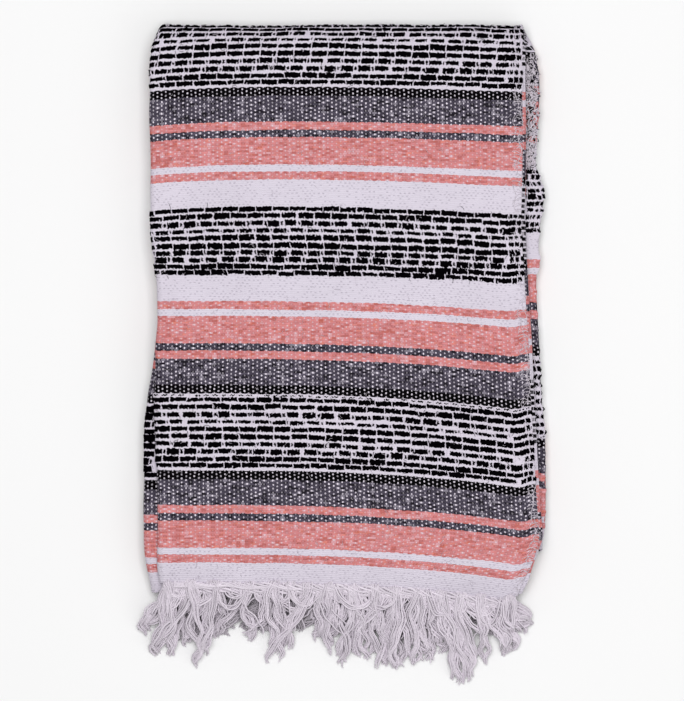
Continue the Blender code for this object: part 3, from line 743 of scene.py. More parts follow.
def scatterTree():  # puts a shape on each point of a flat plan, by its size and turn, a little varied
    tree, given = geometryTree("thread scatter", {
        "Shape": "Object", "Size change": "Float", "Turn change": "Float", "Seed": "Int",
        "Material": "Material",
    })
    shape = addNode(tree, "GeometryNodeObjectInfo", {"Object": given["Shape"]}).outputs["Geometry"]
    low = calc(tree, "SUBTRACT", 1.0, given["Size change"])
    high = calc(tree, "ADD", 1.0, given["Size change"])
    change = addNode(tree, "FunctionNodeRandomValue", {
        0: vectorOf(tree, low, low, low), 1: vectorOf(tree, high, high, high), "Seed": given["Seed"],
    }, data_type="FLOAT_VECTOR").outputs[0]
    scale = addNode(tree, "ShaderNodeVectorMath", {0: pointValue(tree, "size", "FLOAT_VECTOR"), 1: change},
                    operation="MULTIPLY").outputs[0]
    back = calc(tree, "SUBTRACT", 0.0, given["Turn change"])
    sway = addNode(tree, "FunctionNodeRandomValue", {
        2: back, 3: given["Turn change"], "Seed": given["Seed"],
    }, data_type="FLOAT").outputs[1]
    rotation = vectorOf(tree, 0.0, 0.0, calc(tree, "ADD", pointValue(tree, "turn"), sway))
    placed = addNode(tree, "GeometryNodeInstanceOnPoints", {
        "Points": given["Geometry"], "Instance": shape, "Rotation": rotation, "Scale": scale,
    }).outputs[0]
    return endTree(tree, placed, given["Material"])


def yarnTree():  # makes a round yarn along each chain of edges
    tree, given = geometryTree("yarn along chains", {
        "Yarn radius": "Float", "Sides": "Int", "Material": "Material",
    })
    curve = addNode(tree, "GeometryNodeMeshToCurve", {0: given["Geometry"]}).outputs[0]
    radius = calc(tree, "MULTIPLY", pointValue(tree, "yarnSize"), given["Yarn radius"])
    length = addNode(tree, "GeometryNodeSplineParameter").outputs["Length"]
    curve = storedValue(tree, curve, "yarnAlong", length)
    ring = addNode(tree, "GeometryNodeCurvePrimitiveCircle", {"Resolution": given["Sides"], "Radius": 1.0})
    factor = addNode(tree, "GeometryNodeSplineParameter").outputs["Factor"]
    ring = storedValue(tree, ring.outputs[0], "yarnAround", factor)
    tube = addNode(tree, "GeometryNodeCurveToMesh", {
        "Curve": curve, "Profile Curve": ring, "Scale": radius, "Fill Caps": True,
    }).outputs[0]
    tube = addNode(tree, "GeometryNodeSetShadeSmooth", {"Geometry": tube}).outputs[0]
    return endTree(tree, tube, given["Material"])


threadScatter = scatterTree()
yarnChains = yarnTree()
print("geometry trees built")


def evaluated(name, source, tree, values):  # the source mesh through a tree, as a plain mesh
    carrier = bpy.data.objects.new(name + "Plan", source)
    modifier = carrier.modifiers.new(tree.name, "NODES")
    modifier.node_group = tree
    for item in tree.interface.items_tree:
        if item.item_type == "SOCKET" and item.in_out == "INPUT" and item.name in values:
            modifier[item.identifier] = values[item.name]
    bpy.context.scene.collection.objects.link(carrier)
    graph = bpy.context.evaluated_depsgraph_get()
    mesh = bpy.data.meshes.new_from_object(
        carrier.evaluated_get(graph), preserve_all_data_layers=True, depsgraph=graph,
    )
    bpy.data.objects.remove(carrier)
    mesh.name = name
    return mesh


def bentPiece(name, mesh, place, liftOf, look):  # a flat mesh (across, run, lift) laid on a sheet, less even
    flat = np.empty(len(mesh.vertices) * 3, np.float32)
    mesh.vertices.foreach_get("co", flat)
    flat = flat.reshape(-1, 3).astype(float)
    flat[:, :2] += np.random.default_rng(len(flat)).normal(0.0, look["frayed"] + 1e-9, (len(flat), 2))
    across, run, lift = flat.T
    across = across + look["uneven"] * np.sin(run * 2100.0 + 3.0 * np.sin(across * 700.0))
    ripple = np.sin(across * 2300.0 + 5.0 * np.sin(run * 950.0))
    run = run + look["uneven"] * (ripple + 0.5 * np.sin(across * 5100.0 + run * 2900.0))
    points = place(across, run, lift + liftOf(across, run))
    mesh.vertices.foreach_set("co", points.astype(np.float32).ravel())
    keepFlatPlace(mesh, flat[:, :2])
    mesh.update()
    return newObject(name, mesh, look["material"])


def planMesh(name, points, floats, vectors=None, edges=()):
    mesh = bpy.data.meshes.new(name)
    mesh.from_pydata([tuple(point) for point in points], list(edges), [])
    for label, values in floats.items():
        layer = mesh.attributes.new(label, "FLOAT", "POINT")
        layer.data.foreach_set("value", np.asarray(values, np.float32))
    for label, values in (vectors or {}).items():
        layer = mesh.attributes.new(label, "FLOAT_VECTOR", "POINT")
        layer.data.foreach_set("vector", np.asarray(values, np.float32).ravel())
    return mesh


def shapeObject(name, columns, rows, heightOf, outlineOf):  # a low dome on a grid from -0.5 to 0.5 each way
    u, v = np.meshgrid(np.linspace(-1, 1, columns), np.linspace(-1, 1, rows))
    points = np.stack([u * 0.5, v * 0.5 * outlineOf(u), heightOf(u, v)], axis=-1)
    mesh = bpy.data.meshes.new(name)
    mesh.from_pydata(points.reshape(-1, 3).tolist(), [], gridFaces(rows, columns).tolist())
    return bpy.data.objects.new(name, mesh)


floatShape = shapeObject(
    "floatShape", 15, 7,
    lambda u, v: 1.15 * (1 - np.abs(u) ** 8) * np.sqrt(np.clip(1 - v ** 2, 0, 1)) - 0.15,
    lambda u: 0.80 + 0.16 * (1 - np.abs(u) ** 6) + 0.09 * np.sin(7 * u + 1),
)
tieShape = shapeObject("tieShape", 4, 7, lambda u, v: (1 - u ** 2) * (1 - 0.7 * v ** 2) - 0.2, np.ones_like)
floatLook = {
    "shape": floatShape, "material": floatYarn, "sizeChange": threads["sizeChange"],
    "turnChange": threads["turnChange"], "uneven": threads["uneven"], "frayed": threads["frayed"],
}
tieLook = {
    "shape": tieShape, "material": wovenStripes, "sizeChange": 0.15,
    "turnChange": 0.06, "uneven": 0.5 * threads["uneven"], "frayed": 0.0,
}


# places and sizes of floats and ties
def floatPlan(bandNumbers, acrossFrom, acrossTo, period, seed, lastRun):
    random = np.random.default_rng(seed)
    floats, ties = [], []
    for band in bandNumbers:
        for number, row in enumerate(bands["rows"]):  # from the band's upper edge down
            plan = dict(zip(bands["columns"], row))
            at = plan["atNarrow"] if band % 2 else plan["atWide"]
            run = bands["first"] + band * bands["step"] + (at - 0.5) * bands["widths"][band % 2]
            if at > 1 or run > lastRun:  # the narrow band has no thin top row
                continue
            phase = plan["stagger"] + 0.31 * band + 0.06 * random.standard_normal()
            first, last = math.floor(acrossFrom / period - phase), math.ceil(acrossTo / period - phase)
            for k in range(first, last + 1):
                across = (k + phase) * period
                if not acrossFrom <= across <= acrossTo:
                    continue
                wave = math.sin(2 * math.pi * across / threads["swellWave"] + 1.7 * number + band)
                high = plan["width"] * mm
                swelled = high * (1 + threads["swell"] * wave)
                drift = random.standard_normal(2) * threads["drift"]
                length = plan["length"] * period * (1 + threads["lengthChange"] * random.standard_normal())
                floats.append((across + drift[0], run + drift[1], length, swelled))
                middle = across + period / 2
                if middle > acrossTo:
                    continue
                if plan["dot"] and random.random() < threads["dots"]:
                    dot = plan["dot"] * period * random.uniform(0.8, 1.3)
                    floats.append((middle + drift[1], run, dot, high * random.uniform(0.55, 0.8)))
                    ties += [(middle - dot * 0.9, run, 0.9), (middle + dot * 0.9, run, 0.9)]
                else:
                    ties.append((middle + drift[0] / 2, run, 1.0))
                if random.random() < threads["notches"]:
                    notch = across + random.uniform(-0.36, 0.36) * length
                    ties.append((notch, run - random.choice([-1, 1, 1]) * 0.32 * plan["width"] * mm, 0.45))
    return np.array(floats), np.array(ties), random


def scatterPiece(name, spots, turns, sizes, look, seed, place, liftOf):
    plan = planMesh(name, np.column_stack([spots, np.zeros(len(spots))]), {"turn": turns}, {"size": sizes})
    mesh = evaluated(name, plan, threadScatter, {
        "Shape": look["shape"], "Size change": look["sizeChange"], "Turn change": look["turnChange"],
        "Seed": seed, "Material": look["material"],
    })
    return bentPiece(name, mesh, place, liftOf, look)


def threadPieces(name, bandNumbers, acrossFrom, acrossTo, place, liftOf, seed, period=bands["period"],
                 widthShare=1.0, lastRun=math.inf):  # the black floats and the white ties between them
    floats, ties, random = floatPlan(bandNumbers, acrossFrom, acrossTo, period, seed, lastRun)
    floats[:, 3] *= widthShare
    sizes = np.column_stack([floats[:, 2:], np.full(len(floats), threads["floatHeight"])])
    black = scatterPiece(name, floats[:, :2], np.zeros(len(floats)), sizes, floatLook, seed, place, liftOf)
    ones = np.ones(len(ties))
    sizes = np.tile(threads["tieSize"], (len(ties), 1)) * np.column_stack([ones, ties[:, 2], ones])
    turns = threads["tieTurn"] * random.standard_normal(len(ties))
    white = scatterPiece(name + "Ties", ties[:, :2], turns, sizes, tieLook, seed + 1, place, liftOf)
    return [black, white]


# Sheets of cloth

def bandMask(run):  # 1 in the float bands, which need closer rows
    distance = np.abs((run - bands["first"] + bands["step"]) % (2 * bands["step"]) - bands["step"])
    wide = distance < bands["widths"][0] / 2
    return wide | (distance > bands["step"] - bands["widths"][1] / 2)


def rowRuns(first, last, plainStep, bandStep):
    runs = [first]
    while runs[-1] < last:
        runs.append(runs[-1] + (bandStep if bandMask(runs[-1]) else plainStep))
    runs[-1] = last
    return np.array(runs)


def ribs(run):  # the ground of a float band rises between its rows
    lift = np.zeros_like(run)
    for offset in (0, 1):
        for row, after in zip(bands["rows"][1:], bands["rows"][2:]):
            between = (row[offset] + after[offset]) / 2
            middle = bands["first"] + offset * bands["step"] + (between - 0.5) * bands["widths"][offset]
            away = (run - middle + bands["step"]) % (2 * bands["step"]) - bands["step"]
            lift = lift + bands["ribHeight"] * np.exp(-(away / bands["ribReach"]) ** 2)
    return lift


edgeTurn = np.radians([0, 35, 70, 110, 150, 180]) * edge
foldTurn = -np.radians(np.linspace(172, 0, 15))
plainRow = 2.6 * mm
bandRow = 1.15 * mm


def columnsAcross(count):  # round the left fold, across the flat cloth and over the selvedge's edge
    flat = np.linspace(0, stack["width"], count)
    return np.concatenate([foldTurn[:-1] * lobe, flat, stack["width"] + edgeTurn[1:]])


def rowsFromEnd(last):  # over the fringed edge and on along the cloth
    return np.concatenate([-edgeTurn[:0:-1], rowRuns(0.0, last, plainRow, bandRow)])


frontSheet = {
    "columns": 112,
    "last": straight + stack["frontTurn"] * roll,
    "seed": 0.0,
    "quietEnd": 12 * mm,
    "quietSide": 6 * mm,
    "floats": (-12 * mm, stack["width"] - 8 * mm),
    "edgeFloats": (stack["width"] - 9 * mm, stack["width"] + 1.5 * mm),
    "edgePeriod": 4.6 * mm,
}


def frontLift(across, run):
    quiet = smooth(run / frontSheet["quietEnd"])
    quiet = quiet * smooth((stack["width"] - across) / frontSheet["quietSide"])
    return (rumpled(across, run, frontSheet["seed"]) + ribs(run)) * quiet


frontPanel = sheetPiece(
    "frontPanel", columnsAcross(frontSheet["columns"]), rowsFromEnd(frontSheet["last"]),
    frontPlace, frontLift, wovenStripes,
)
frontThreads = threadPieces("frontFloats", (0, 1, 2), *frontSheet["floats"], frontPlace, frontLift, 11)
edgeThreads = threadPieces("edgeFloats", (0, 1, 2), *frontSheet["edgeFloats"], frontPlace, frontLift, 13,
                           frontSheet["edgePeriod"])
print("front panel", len(frontPanel.data.polygons), "faces,", [len(o.data.polygons) for o in frontThreads])

backSheet = {
    "columns": 90,
    "seed": 2.2,
    "soft": 0.6,
    "settle": 20 * mm,
    "last": foldRun + math.pi * fold + stack["slotY"] - foldY - 0.35 * mm,
}


def backLift(across, run):
    onFloor = smooth((run - floorRun) / backSheet["settle"]) * smooth((foldRun - run) / backSheet["settle"])
    return backSheet["soft"] * rumpled(across, run, backSheet["seed"]) * (1 - onFloor)


backRuns = np.concatenate([
    rowRuns(frontSheet["last"] + stack["seam"], foldRun - 1 * mm, 4 * mm, 2.5 * mm),
    np.linspace(foldRun, backSheet["last"], 22),
])
backPanel = sheetPiece(
    "backPanel", columnsAcross(backSheet["columns"]), backRuns, backPlace, backLift, innerStripes,
)

secondSheet = {
    "width": 19 * mm,
    "length": rollY - 2 * mm - stack["underEndY"],
    "seed": 4.1,
    "soft": 0.7,
    "quietEnd": 12 * mm,
    "floats": (-11 * mm, 5 * mm),
    "floatWidth": 1.35,
}


def secondLift(across, run):
    soft = secondSheet["soft"] * rumpled(across, run, secondSheet["seed"])
    return (soft + ribs(run)) * smooth(run / secondSheet["quietEnd"])


secondPanel = sheetPiece(
    "secondPanel",
    np.concatenate([foldTurn[:-1] * stack["innerLobe"], np.linspace(0, secondSheet["width"], 8)]),
    rowsFromEnd(secondSheet["length"]),
    secondPlace, secondLift, wovenStripes,
)
secondThreads = threadPieces("secondFloats", (0, 1, 2), *secondSheet["floats"], secondPlace, secondLift, 23,
                             widthShare=secondSheet["floatWidth"], lastRun=secondSheet["length"] - 3 * mm)


def lowerLift(across, run):
    soft = lowerStrip["soft"] * rumpled(across, run, lowerStrip["seed"])
    return (soft + ribs(run)) * smooth((lowerStrip["width"] - across) / lowerStrip["quietSide"])


lowerFold = sheetPiece(
    "lowerFold",
    np.concatenate([np.linspace(0, lowerStrip["width"], 14), lowerStrip["width"] + edgeTurn[1:]]),
    rowRuns(lowerStrip["first"], lowerStrip["last"], plainRow, bandRow),
    lowerPlace, lowerLift, wovenStripes,
)
lowerThreads = threadPieces("lowerFloats", (3, 4), *lowerStrip["floats"], lowerPlace, lowerLift, 31,
                            lowerStrip["period"])
lowerThreads += threadPieces("lowerEdgeFloats", (3, 4), *lowerStrip["edgeFloats"], lowerPlace, lowerLift, 37,
                             lowerStrip["edgePeriod"], lowerStrip["edgeFloatWidth"])
print("other panels built")


# Inner layers: their folds at the left, folds and selvedges at the right, and the ends past the bottom fold

innerLayers = {
    "rightColumns": ("edge", "out", "depth", "radius"),
    "rightRows": (
        ("outer", 1.5, 3.95, 1.05),
        ("outer", 3.0, 7.6, 2.35),
        ("inner", 0.0, 12.85, 2.4),
        ("inner", -3.8, 16.5, 1.05),
    ),
    "groove": 5.0 * mm,
    "arc": np.radians(np.linspace(0, 180, 9)),
    "endInset": 1.2 * mm,
    "coverLength": 18 * mm,
    "finger": (24.8 * mm, 12.0 * mm),  # how far a gap reaches in at the left, and how much less on the floor
    "noseDepth": 17.7 * mm,
    "firstDepths": (18.3 * mm, 19.2 * mm, 20.2 * mm),
    "step": 3 * mm,
    "rollRows": 24,
    "innerRoll": 16.6 * mm,
    "fadeSteep": 1.3,
    "noseFrom": -157.0,
    "noseReach": 160.0,
    "noseRows": ((-148.05, 1.0, 0.0), (-156.5, 1.0, 0.0), (-160.0, 0.8, 3.0), (-162.6, 0.42, 8.0)),
}


def arcPoints(centre, depth, radius, turns, sign):
    return [(centre + sign * radius * math.sin(a), depth - radius * math.cos(a)) for a in turns]


def innerSides(y, share):
    sides = (*sidesAt("front", share, y, stack["pastLower"]), *sidesAt("under", share, y))
    return [float(value) for value in sides]


def leftProfile(y, share, nose):
    outerLeft, _, innerLeft, _ = innerSides(y, share)
    bare = 0.0 if nose else share
    hiddenLobe = lobe - covered if nose else stack["innerLobe"] - covered
    radius = hiddenLobe + bare * (stack["innerLobe"] - hiddenLobe)
    centre = innerLeft + (lobe if nose else stack["innerLobe"])
    depth = 2 * fold - lobe if nose else innerLobeDepth
    turns = innerLayers["arc"][::-1]
    places = [(axisLeft, 2 * fold - stack["cloth"] - stack["seam"] if nose else stack["height"] / 2)]
    places += arcPoints(centre, depth, radius, turns, -1)
    finger = innerLeft + innerLayers["finger"][0] - innerLayers["finger"][1] * bare
    places += [(finger, depth - radius), (finger + 0.4 * mm, quarter - 0.35 * mm)]
    places += [(outerLeft + lobe + 3 * mm, 2 * lobe - 0.05 * mm)]
    places += arcPoints(outerLeft + lobe, lobe, lobe - covered, turns, -1)
    places += [(outerLeft + lobe + 12 * mm, covered)]
    return places


def rightProfile(y, share, nose):
    _, outerRight, _, innerRight = innerSides(y, share)
    edges = {"outer": outerRight, "inner": innerRight}
    bare = 1.0 if share > 0 else float(np.clip(1 + (y - foldY) / innerLayers["coverLength"], 0.0, 1.0))
    groove = min(outerRight, innerRight) - innerLayers["groove"]
    places = [(outerRight - 12 * mm, covered)]
    for row in innerLayers["rightRows"]:
        layer = dict(zip(innerLayers["rightColumns"], row))
        radius = layer["radius"] * mm
        centre = edges[layer["edge"]] + (layer["out"] * bare - 1.5 * (1 - bare)) * mm - radius
        places += arcPoints(centre, layer["depth"] * mm, radius, innerLayers["arc"], 1)
        places += [(groove, (layer["depth"] + layer["radius"] + 0.1) * mm)]
    if nose:
        places += [(axisRight + k * mm, innerLayers["noseDepth"]) for k in (4, 3, 2)]
        places += [(axisRight, 2 * fold - stack["cloth"] - stack["seam"])]
    else:
        firstLayer = (1 - share) * (innerRight - 4 * mm) + share * axisRight
        offsets = (0.0, (1 - share) * mm, 0.0)
        places += [(firstLayer + out, depth) for out, depth in zip(offsets, innerLayers["firstDepths"])]
        places += [(axisRight, stack["height"] / 2)]
    return places


def innerRibbon(name, profile, phase):  # phase shifts the stripes of the layers below the front
    points, flat = [], []
    step = innerLayers["step"]
    endLength = foldY - stack["frontEndY"]
    runs = np.concatenate([
        np.arange(innerLayers["endInset"], straight, step),
        np.linspace(straight, floorRun, innerLayers["rollRows"]),
        np.arange(floorRun + step, floorRun + rollY - stack["slotY"], step),
    ])
    for run in runs:
        share = float(rollShare(run))
        y = float(onStrip(run, 0.0)[0])
        x, depth = np.array(profile(y, share, False)).T
        shifted = run
        if share == 0.0:  # the ends follow the front's bowed edge
            left, right = side("frontLeft", y), side("frontRight", y)
            across = np.clip((x - left) / (right - left), 0.0, 1.0)
            fade = smooth((endLength - run) / endLength * innerLayers["fadeSteep"])
            shifted = run - weftShift(across, 0.0) * fade
        points.append(settled(x, *onStrip(shifted, depth)))
        innerRun = run + (stack["frontEndY"] - stack["underEndY"])
        innerRun = innerRun - (math.pi * roll - innerLayers["innerRoll"]) * share
        length = np.concatenate([[0.0], np.cumsum(np.hypot(np.diff(x), np.diff(depth)))])
        outerRun = run + phase * (y > foldY)
        flat.append(np.column_stack([length, np.where(depth < quarter, outerRun, innerRun)]))
    for y, flatten, inset in innerLayers["noseRows"]:
        x, depth = np.array(profile(max(y, innerLayers["noseFrom"]) * mm, 1.0, True)).T
        narrowed = x * (1 - inset / innerLayers["noseReach"])
        points.append(settled(narrowed, y * mm, fold + (depth - fold) * flatten))
        flat.append(flat[-1] + [0.0, 4 * mm])
    return newObject(name, gridMesh(name, np.array(points), np.array(flat)), innerStripes)


innerLeft = innerRibbon("innerFoldsLeft", leftProfile, 0.0)
innerRight = innerRibbon("innerEdgesRight", rightProfile, 142 * mm)

overhang = {"layers": 7, "bulge": 0.9 * mm, "columns": 100, "stagger": 1.3 * mm * 0.6, "back": 0.6 * mm}


def overhangPiece():  # the layers' ends under the fringe, and the underside of what is past the bottom fold
    across = np.linspace(1 * mm, stack["width"] - 1 * mm, overhang["columns"])
    ends = frontPlace(across, np.zeros_like(across), np.zeros_like(across))
    x, endY = ends[:, 0], ends[:, 1] + innerLayers["endInset"]
    rows, flat = [], []
    depths = np.linspace(covered, stack["height"] / 2 + stack["seam"], 6 * overhang["layers"] + 1)
    for depth in depths:
        share = (depth - covered) / (depths[-1] - covered) * overhang["layers"]
        bulge = overhang["bulge"] * abs(math.sin(math.pi * share))
        stagger = 0.0 if depth in (depths[0], depths[-1]) else overhang["stagger"]
        y = endY - bulge + stagger * np.sin(2.4 * math.floor(share) + x * 31.0) + overhang["back"]
        rows.append(settled(x, y, stack["height"] - depth))
        flat.append(np.column_stack([across, np.full(len(x), 2 * mm + bulge)]))
    for step in np.linspace(0.04, 1.0, 22):
        y = endY + (stack["slotY"] - endY) * step
        rows.append(settled(x, y, np.full(len(x), stack["height"] / 2)))
        flat.append(np.column_stack([across, y - endY]))
    mesh = gridMesh("overhangEnds", np.array(rows), np.array(flat))
    return newObject("overhangEnds", mesh, wovenStripes)


overhangEnds = overhangPiece()
print("inner layers built")


# Fringe

fringe = {
    "tips": (  # where each front lock ends, in millimetres
        (-157.5, -256.1), (-168.0, -237.5), (-144.9, -256.3), (-133.0, -248.0), (-120.2, -266.3),
        (-107.1, -240.0), (-95.0, -227.0), (-80.1, -242.3), (-67.6, -233.9), (-58.2, -263.1),
        (-49.3, -249.9), (-38.0, -229.0), (-22.3, -241.5), (-10.5, -253.3), (0.4, -264.2),
        (11.3, -256.6), (21.4, -261.7), (33.2, -265.0), (44.9, -268.4), (58.4, -264.2),
        (71.8, -260.0), (83.6, -251.6), (96.2, -280.4), (106.1, -276.9), (118.9, -263.3),
        (136.5, -255.8), (146.6, -250.7), (153.3, -238.1), (159.0, -230.6),
    ),
    "underTips": (  # the same for the other end's fringe below it
        (-151.0, -246.0), (-128.0, -243.0), (-102.0, -240.0), (-70.0, -236.0), (-42.0, -236.0),
        (-12.0, -240.0), (14.0, -243.0), (44.0, -246.0), (72.0, -244.0), (100.0, -242.0),
        (126.0, -238.0),
    ),
    "knots": (-147, -128, -108, -78.5, -57, -31.5, -10, 8, 27, 44, 63, 82, 98, 116, 140),
    "yarnRadius": 0.72 * mm,
    "sides": 5,
    "points": 17,
    "rootLimits": (-149 * mm, 141 * mm),
    "front": {
        "bundles": 5, "yarns": 8, "knots": 2, "around": 3.4 * mm, "tipSpread": 1.9 * mm, "reach": 2.9 * mm,
    },
    "second": {
        "bundles": 8, "yarns": 7, "knots": 6, "around": 9.0 * mm, "tipSpread": 7.0 * mm, "reach": 3.0 * mm,
    },
    "garlands": 30,
    "stubs": 90,
    "crossing": (-13, 13),  # this and the next two are ranges in millimetres
    "tipHeight": (1.2, 4.0),
    "sagging": (6, 26),
    "shorter": 14 * mm,
    "leastDrop": 16 * mm,
    "lockSway": 3.8 * mm,
    "garlandReach": 2.6 * mm,
    "garlandSway": 1.2 * mm,
    "stubSway": 2.2 * mm,
    "crimp": 0.55 * mm,
    "headerRadius": 1.08 * mm,
    # painted shade: how much darker the second fringe's yarns are made, for the shade it lies in under the
    # front fringe
    "secondShade": 1.7,
}


def edgeLine():
    across = np.linspace(0, stack["width"], 120)
    return frontPlace(across, np.zeros_like(across), np.zeros_like(across))


edgePoints = edgeLine()


def edgeAt(x):
    y = np.interp(x, edgePoints[:, 0], edgePoints[:, 1])
    return y, np.interp(x, edgePoints[:, 0], edgePoints[:, 2])


def bezier(corners, t):
    a, b, c, d = (np.array(corner) for corner in corners)
    t = t[:, None]
    return a * (1 - t) ** 3 + 3 * b * t * (1 - t) ** 2 + 3 * c * t ** 2 * (1 - t) + d * t ** 3


def wavy(path, t, random, size):  # yarn keeps the crimp that the loom gave it
    out = path.copy()
    grow = np.sin(np.clip(t * 1.25, 0, 1) * math.pi / 2)
    for axis, share in ((0, 1.0), (1, 0.5), (2, 0.5)):
        for waves in (random.uniform(0.8, 1.8), random.uniform(2.4, 4.2)):
            phase = random.uniform(0, 2 * math.pi)
            height = size * share * random.uniform(0.5, 1.2) / (0.6 + 0.4 * waves)
            crimp = np.sin(2 * math.pi * waves * t + phase) - math.sin(phase) * (1 - t)
            out[:, axis] += grow * height * crimp
    return out


def bundleYarns(corners, count, reach, sway, random):  # yarns that run side by side, loosely twisted
    turns, phase = random.uniform(-0.9, 0.9), random.uniform(0, 2 * math.pi)
    steps = np.linspace(0, 1, fringe["points"])
    middle = wavy(bezier(corners, steps), steps, random, sway)
    along = np.gradient(middle, axis=0)
    aside = np.column_stack([-along[:, 1], along[:, 0], 0 * steps])
    aside /= np.linalg.norm(aside, axis=1)[:, None] + 1e-9
    yarns = []
    for k in range(count):
        turn = phase + 2 * math.pi * ((k + random.uniform(-0.2, 0.2)) / count + turns * steps)
        swell = np.sin(2 * math.pi * (steps * random.uniform(0.7, 1.6) + random.uniform()))
        wide = reach * (0.75 + 0.35 * swell) * (1 - 0.45 * steps ** 3) * random.uniform(0.6, 1.15)
        path = middle + aside * (wide * np.cos(turn))[:, None]
        path[:, 2] += 0.75 * wide * np.sin(turn)
        path = wavy(path, steps, random, fringe["crimp"])
        places = steps * random.uniform(0.88, 1.0)
        yarns.append(np.column_stack([np.interp(places, steps, path[:, axis]) for axis in range(3)]))
    return yarns


def lockYarns(tips, plan, startOf, high, random):
    yarns = []
    knots = np.array(fringe["knots"]) * mm
    for tipX, tipY in np.array(tips) * mm:
        near = sorted(knots, key=lambda knot: abs(knot - 0.93 * tipX))[:plan["knots"]]
        for k in range(plan["bundles"]):
            aside = ((k + 0.5) / plan["bundles"] * 2 - 1) * plan["tipSpread"]
            x0 = near[int(len(near) * random.random() ** 1.5)] + random.uniform(-1, 1) * plan["around"]
            start = startOf(float(np.clip(x0, *fringe["rootLimits"])), random)
            short = random.uniform(0, 1) ** 2.5 * fringe["shorter"] if k else 0.0
            endY = min(tipY + short, start[1] - fringe["leastDrop"])
            endX = tipX + aside * random.uniform(0.3, 2.0)
            end = (endX, endY, random.uniform(*fringe["tipHeight"]) * mm)
            drop = start[1] - end[1]
            cross = random.uniform(*fringe["crossing"]) * mm
            knee = (start[0] + cross, start[1] - 0.38 * drop, start[2] * high - random.uniform(0, 9) * mm)
            neck = (end[0] - cross * 0.8 + random.uniform(-4, 4) * mm, start[1] - 0.72 * drop,
                    (0.40 * start[2] * high + random.uniform(-4, 4) * mm))
            corners = (start, knee, neck, end)
            yarns += bundleYarns(corners, plan["yarns"], plan["reach"], fringe["lockSway"], random)
    return yarns


def garlandYarns(count, startOf, random):  # bundles that sag from one lock to the next
    yarns = []
    first, last = fringe["rootLimits"]
    for k in range(count):
        x0 = first + (last - first) * (k + random.uniform(0, 1)) / count
        x1 = float(np.clip(x0 + random.choice([-1, 1]) * random.uniform(14, 34) * mm, first, last))
        start, end = startOf(x0, random), startOf(x1, random)
        sag = random.uniform(*fringe["sagging"]) * mm
        knee = (start[0] * 0.8 + end[0] * 0.2, start[1] - sag * 1.2, start[2] - random.uniform(2, 8) * mm)
        neck = (start[0] * 0.25 + end[0] * 0.75, end[1] - sag * 1.3, end[2] - random.uniform(2, 8) * mm)
        finish = (end[0], end[1] - random.uniform(2, 9) * mm, end[2] - random.uniform(0, 4) * mm)
        yarns += bundleYarns((start, knee, neck, finish), random.integers(5, 10), fringe["garlandReach"],
                             fringe["garlandSway"], random)
    return yarns


def stubYarns(count, startOf, random):  # single loose yarns
    yarns = []
    for _ in range(count):
        start = startOf(random.uniform(*fringe["rootLimits"]), random)
        aside, drop = random.choice([-1, 1]) * random.uniform(4, 22) * mm, random.uniform(14, 46) * mm
        knee = (start[0] + aside * 0.1, start[1] - drop * 0.5, start[2] + random.uniform(-4, 1) * mm)
        neck = (start[0] + aside, start[1] - drop * 0.8, start[2] * 0.6 + random.uniform(-4, 3) * mm)
        tip = (start[0] + aside * random.uniform(0.4, 1.5), start[1] - drop,
               start[2] * 0.4 + random.uniform(-3, 3) * mm)
        yarns += bundleYarns((start, knee, neck, tip), 1, 0.0, fringe["stubSway"], random)
    return yarns


def yarnPiece(name, yarns, random, radius, material, sides=fringe["sides"], paintedShade=0.0):
    points, edges, sizes, tones = [], [], [], []
    for path in yarns:
        taper = 1 - 0.35 * smooth((np.linspace(0, 1, len(path)) - 0.85) / 0.15)
        first = len(points)
        path[:, 2] = np.maximum(path[:, 2], radius * 1.05)
        points += path.tolist()
        edges += [(first + k, first + k + 1) for k in range(len(path) - 1)]
        sizes += (random.uniform(0.75, 1.25) * taper).tolist()
        # each yarn's tone is random, lowered by the painted shade
        tones += [random.uniform(0, 1) - paintedShade] * len(path)
    plan = planMesh(name, points, {"yarnSize": sizes, "tone": tones}, edges=edges)
    mesh = evaluated(name, plan, yarnChains, {"Yarn radius": radius, "Sides": sides, "Material": material})
    return newObject(name, mesh, material)


def frontStart(x, random):  # on the cloth's face, so that the yarns come over its edge
    y, z = edgeAt(x)
    return (x, y + random.uniform(-1.0, 2.0) * mm, z + random.uniform(-2.4, 0.3) * mm)


def secondStart(x, random):
    y, z = edgeAt(x)
    return (x, y + innerLayers["endInset"] - 0.5 * mm, z * 0.55 - random.uniform(0, 3.0) * mm)


header = {
    "strands": 8,
    "sag": 1.6 * mm,
    "sagLength": 31 * mm,
    "twist": 58,
    "twistMore": 12,
    "ropes": ((1.9, 1.4, 2.3), (5.2, 3.6, 2.3), (2.0, 6.0, 2.1)),  # down, under the face, reach
}


def headerYarns():  # the rope of twined yarns along the cloth's end, sagging between the locks
    span = edgePoints[4:-4]
    xs = np.linspace(span[0, 0] - 3 * mm, span[-1, 0] + 2 * mm, 200)
    y, z = edgeAt(xs)
    sag = header["sag"] * np.abs(np.sin(math.pi * xs / header["sagLength"] + 0.5 * np.sin(xs * 40)))
    yarns = []
    for rope, (down, low, reach) in enumerate(header["ropes"]):
        twist = (header["twist"] + header["twistMore"] * rope) * mm
        for k in range(header["strands"]):
            turn = 2 * math.pi * (xs / twist + k / header["strands"]) + 0.9 * np.sin(xs * 95 + 0.7 * k)
            wide = (reach + 0.4 * np.sin(xs * 120 + 2 * k + rope)) * mm
            yarns.append(np.column_stack([
                xs, y - down * mm - sag + wide * np.cos(turn), z - low * mm + wide * 0.75 * np.sin(turn),
            ]))
    return yarns


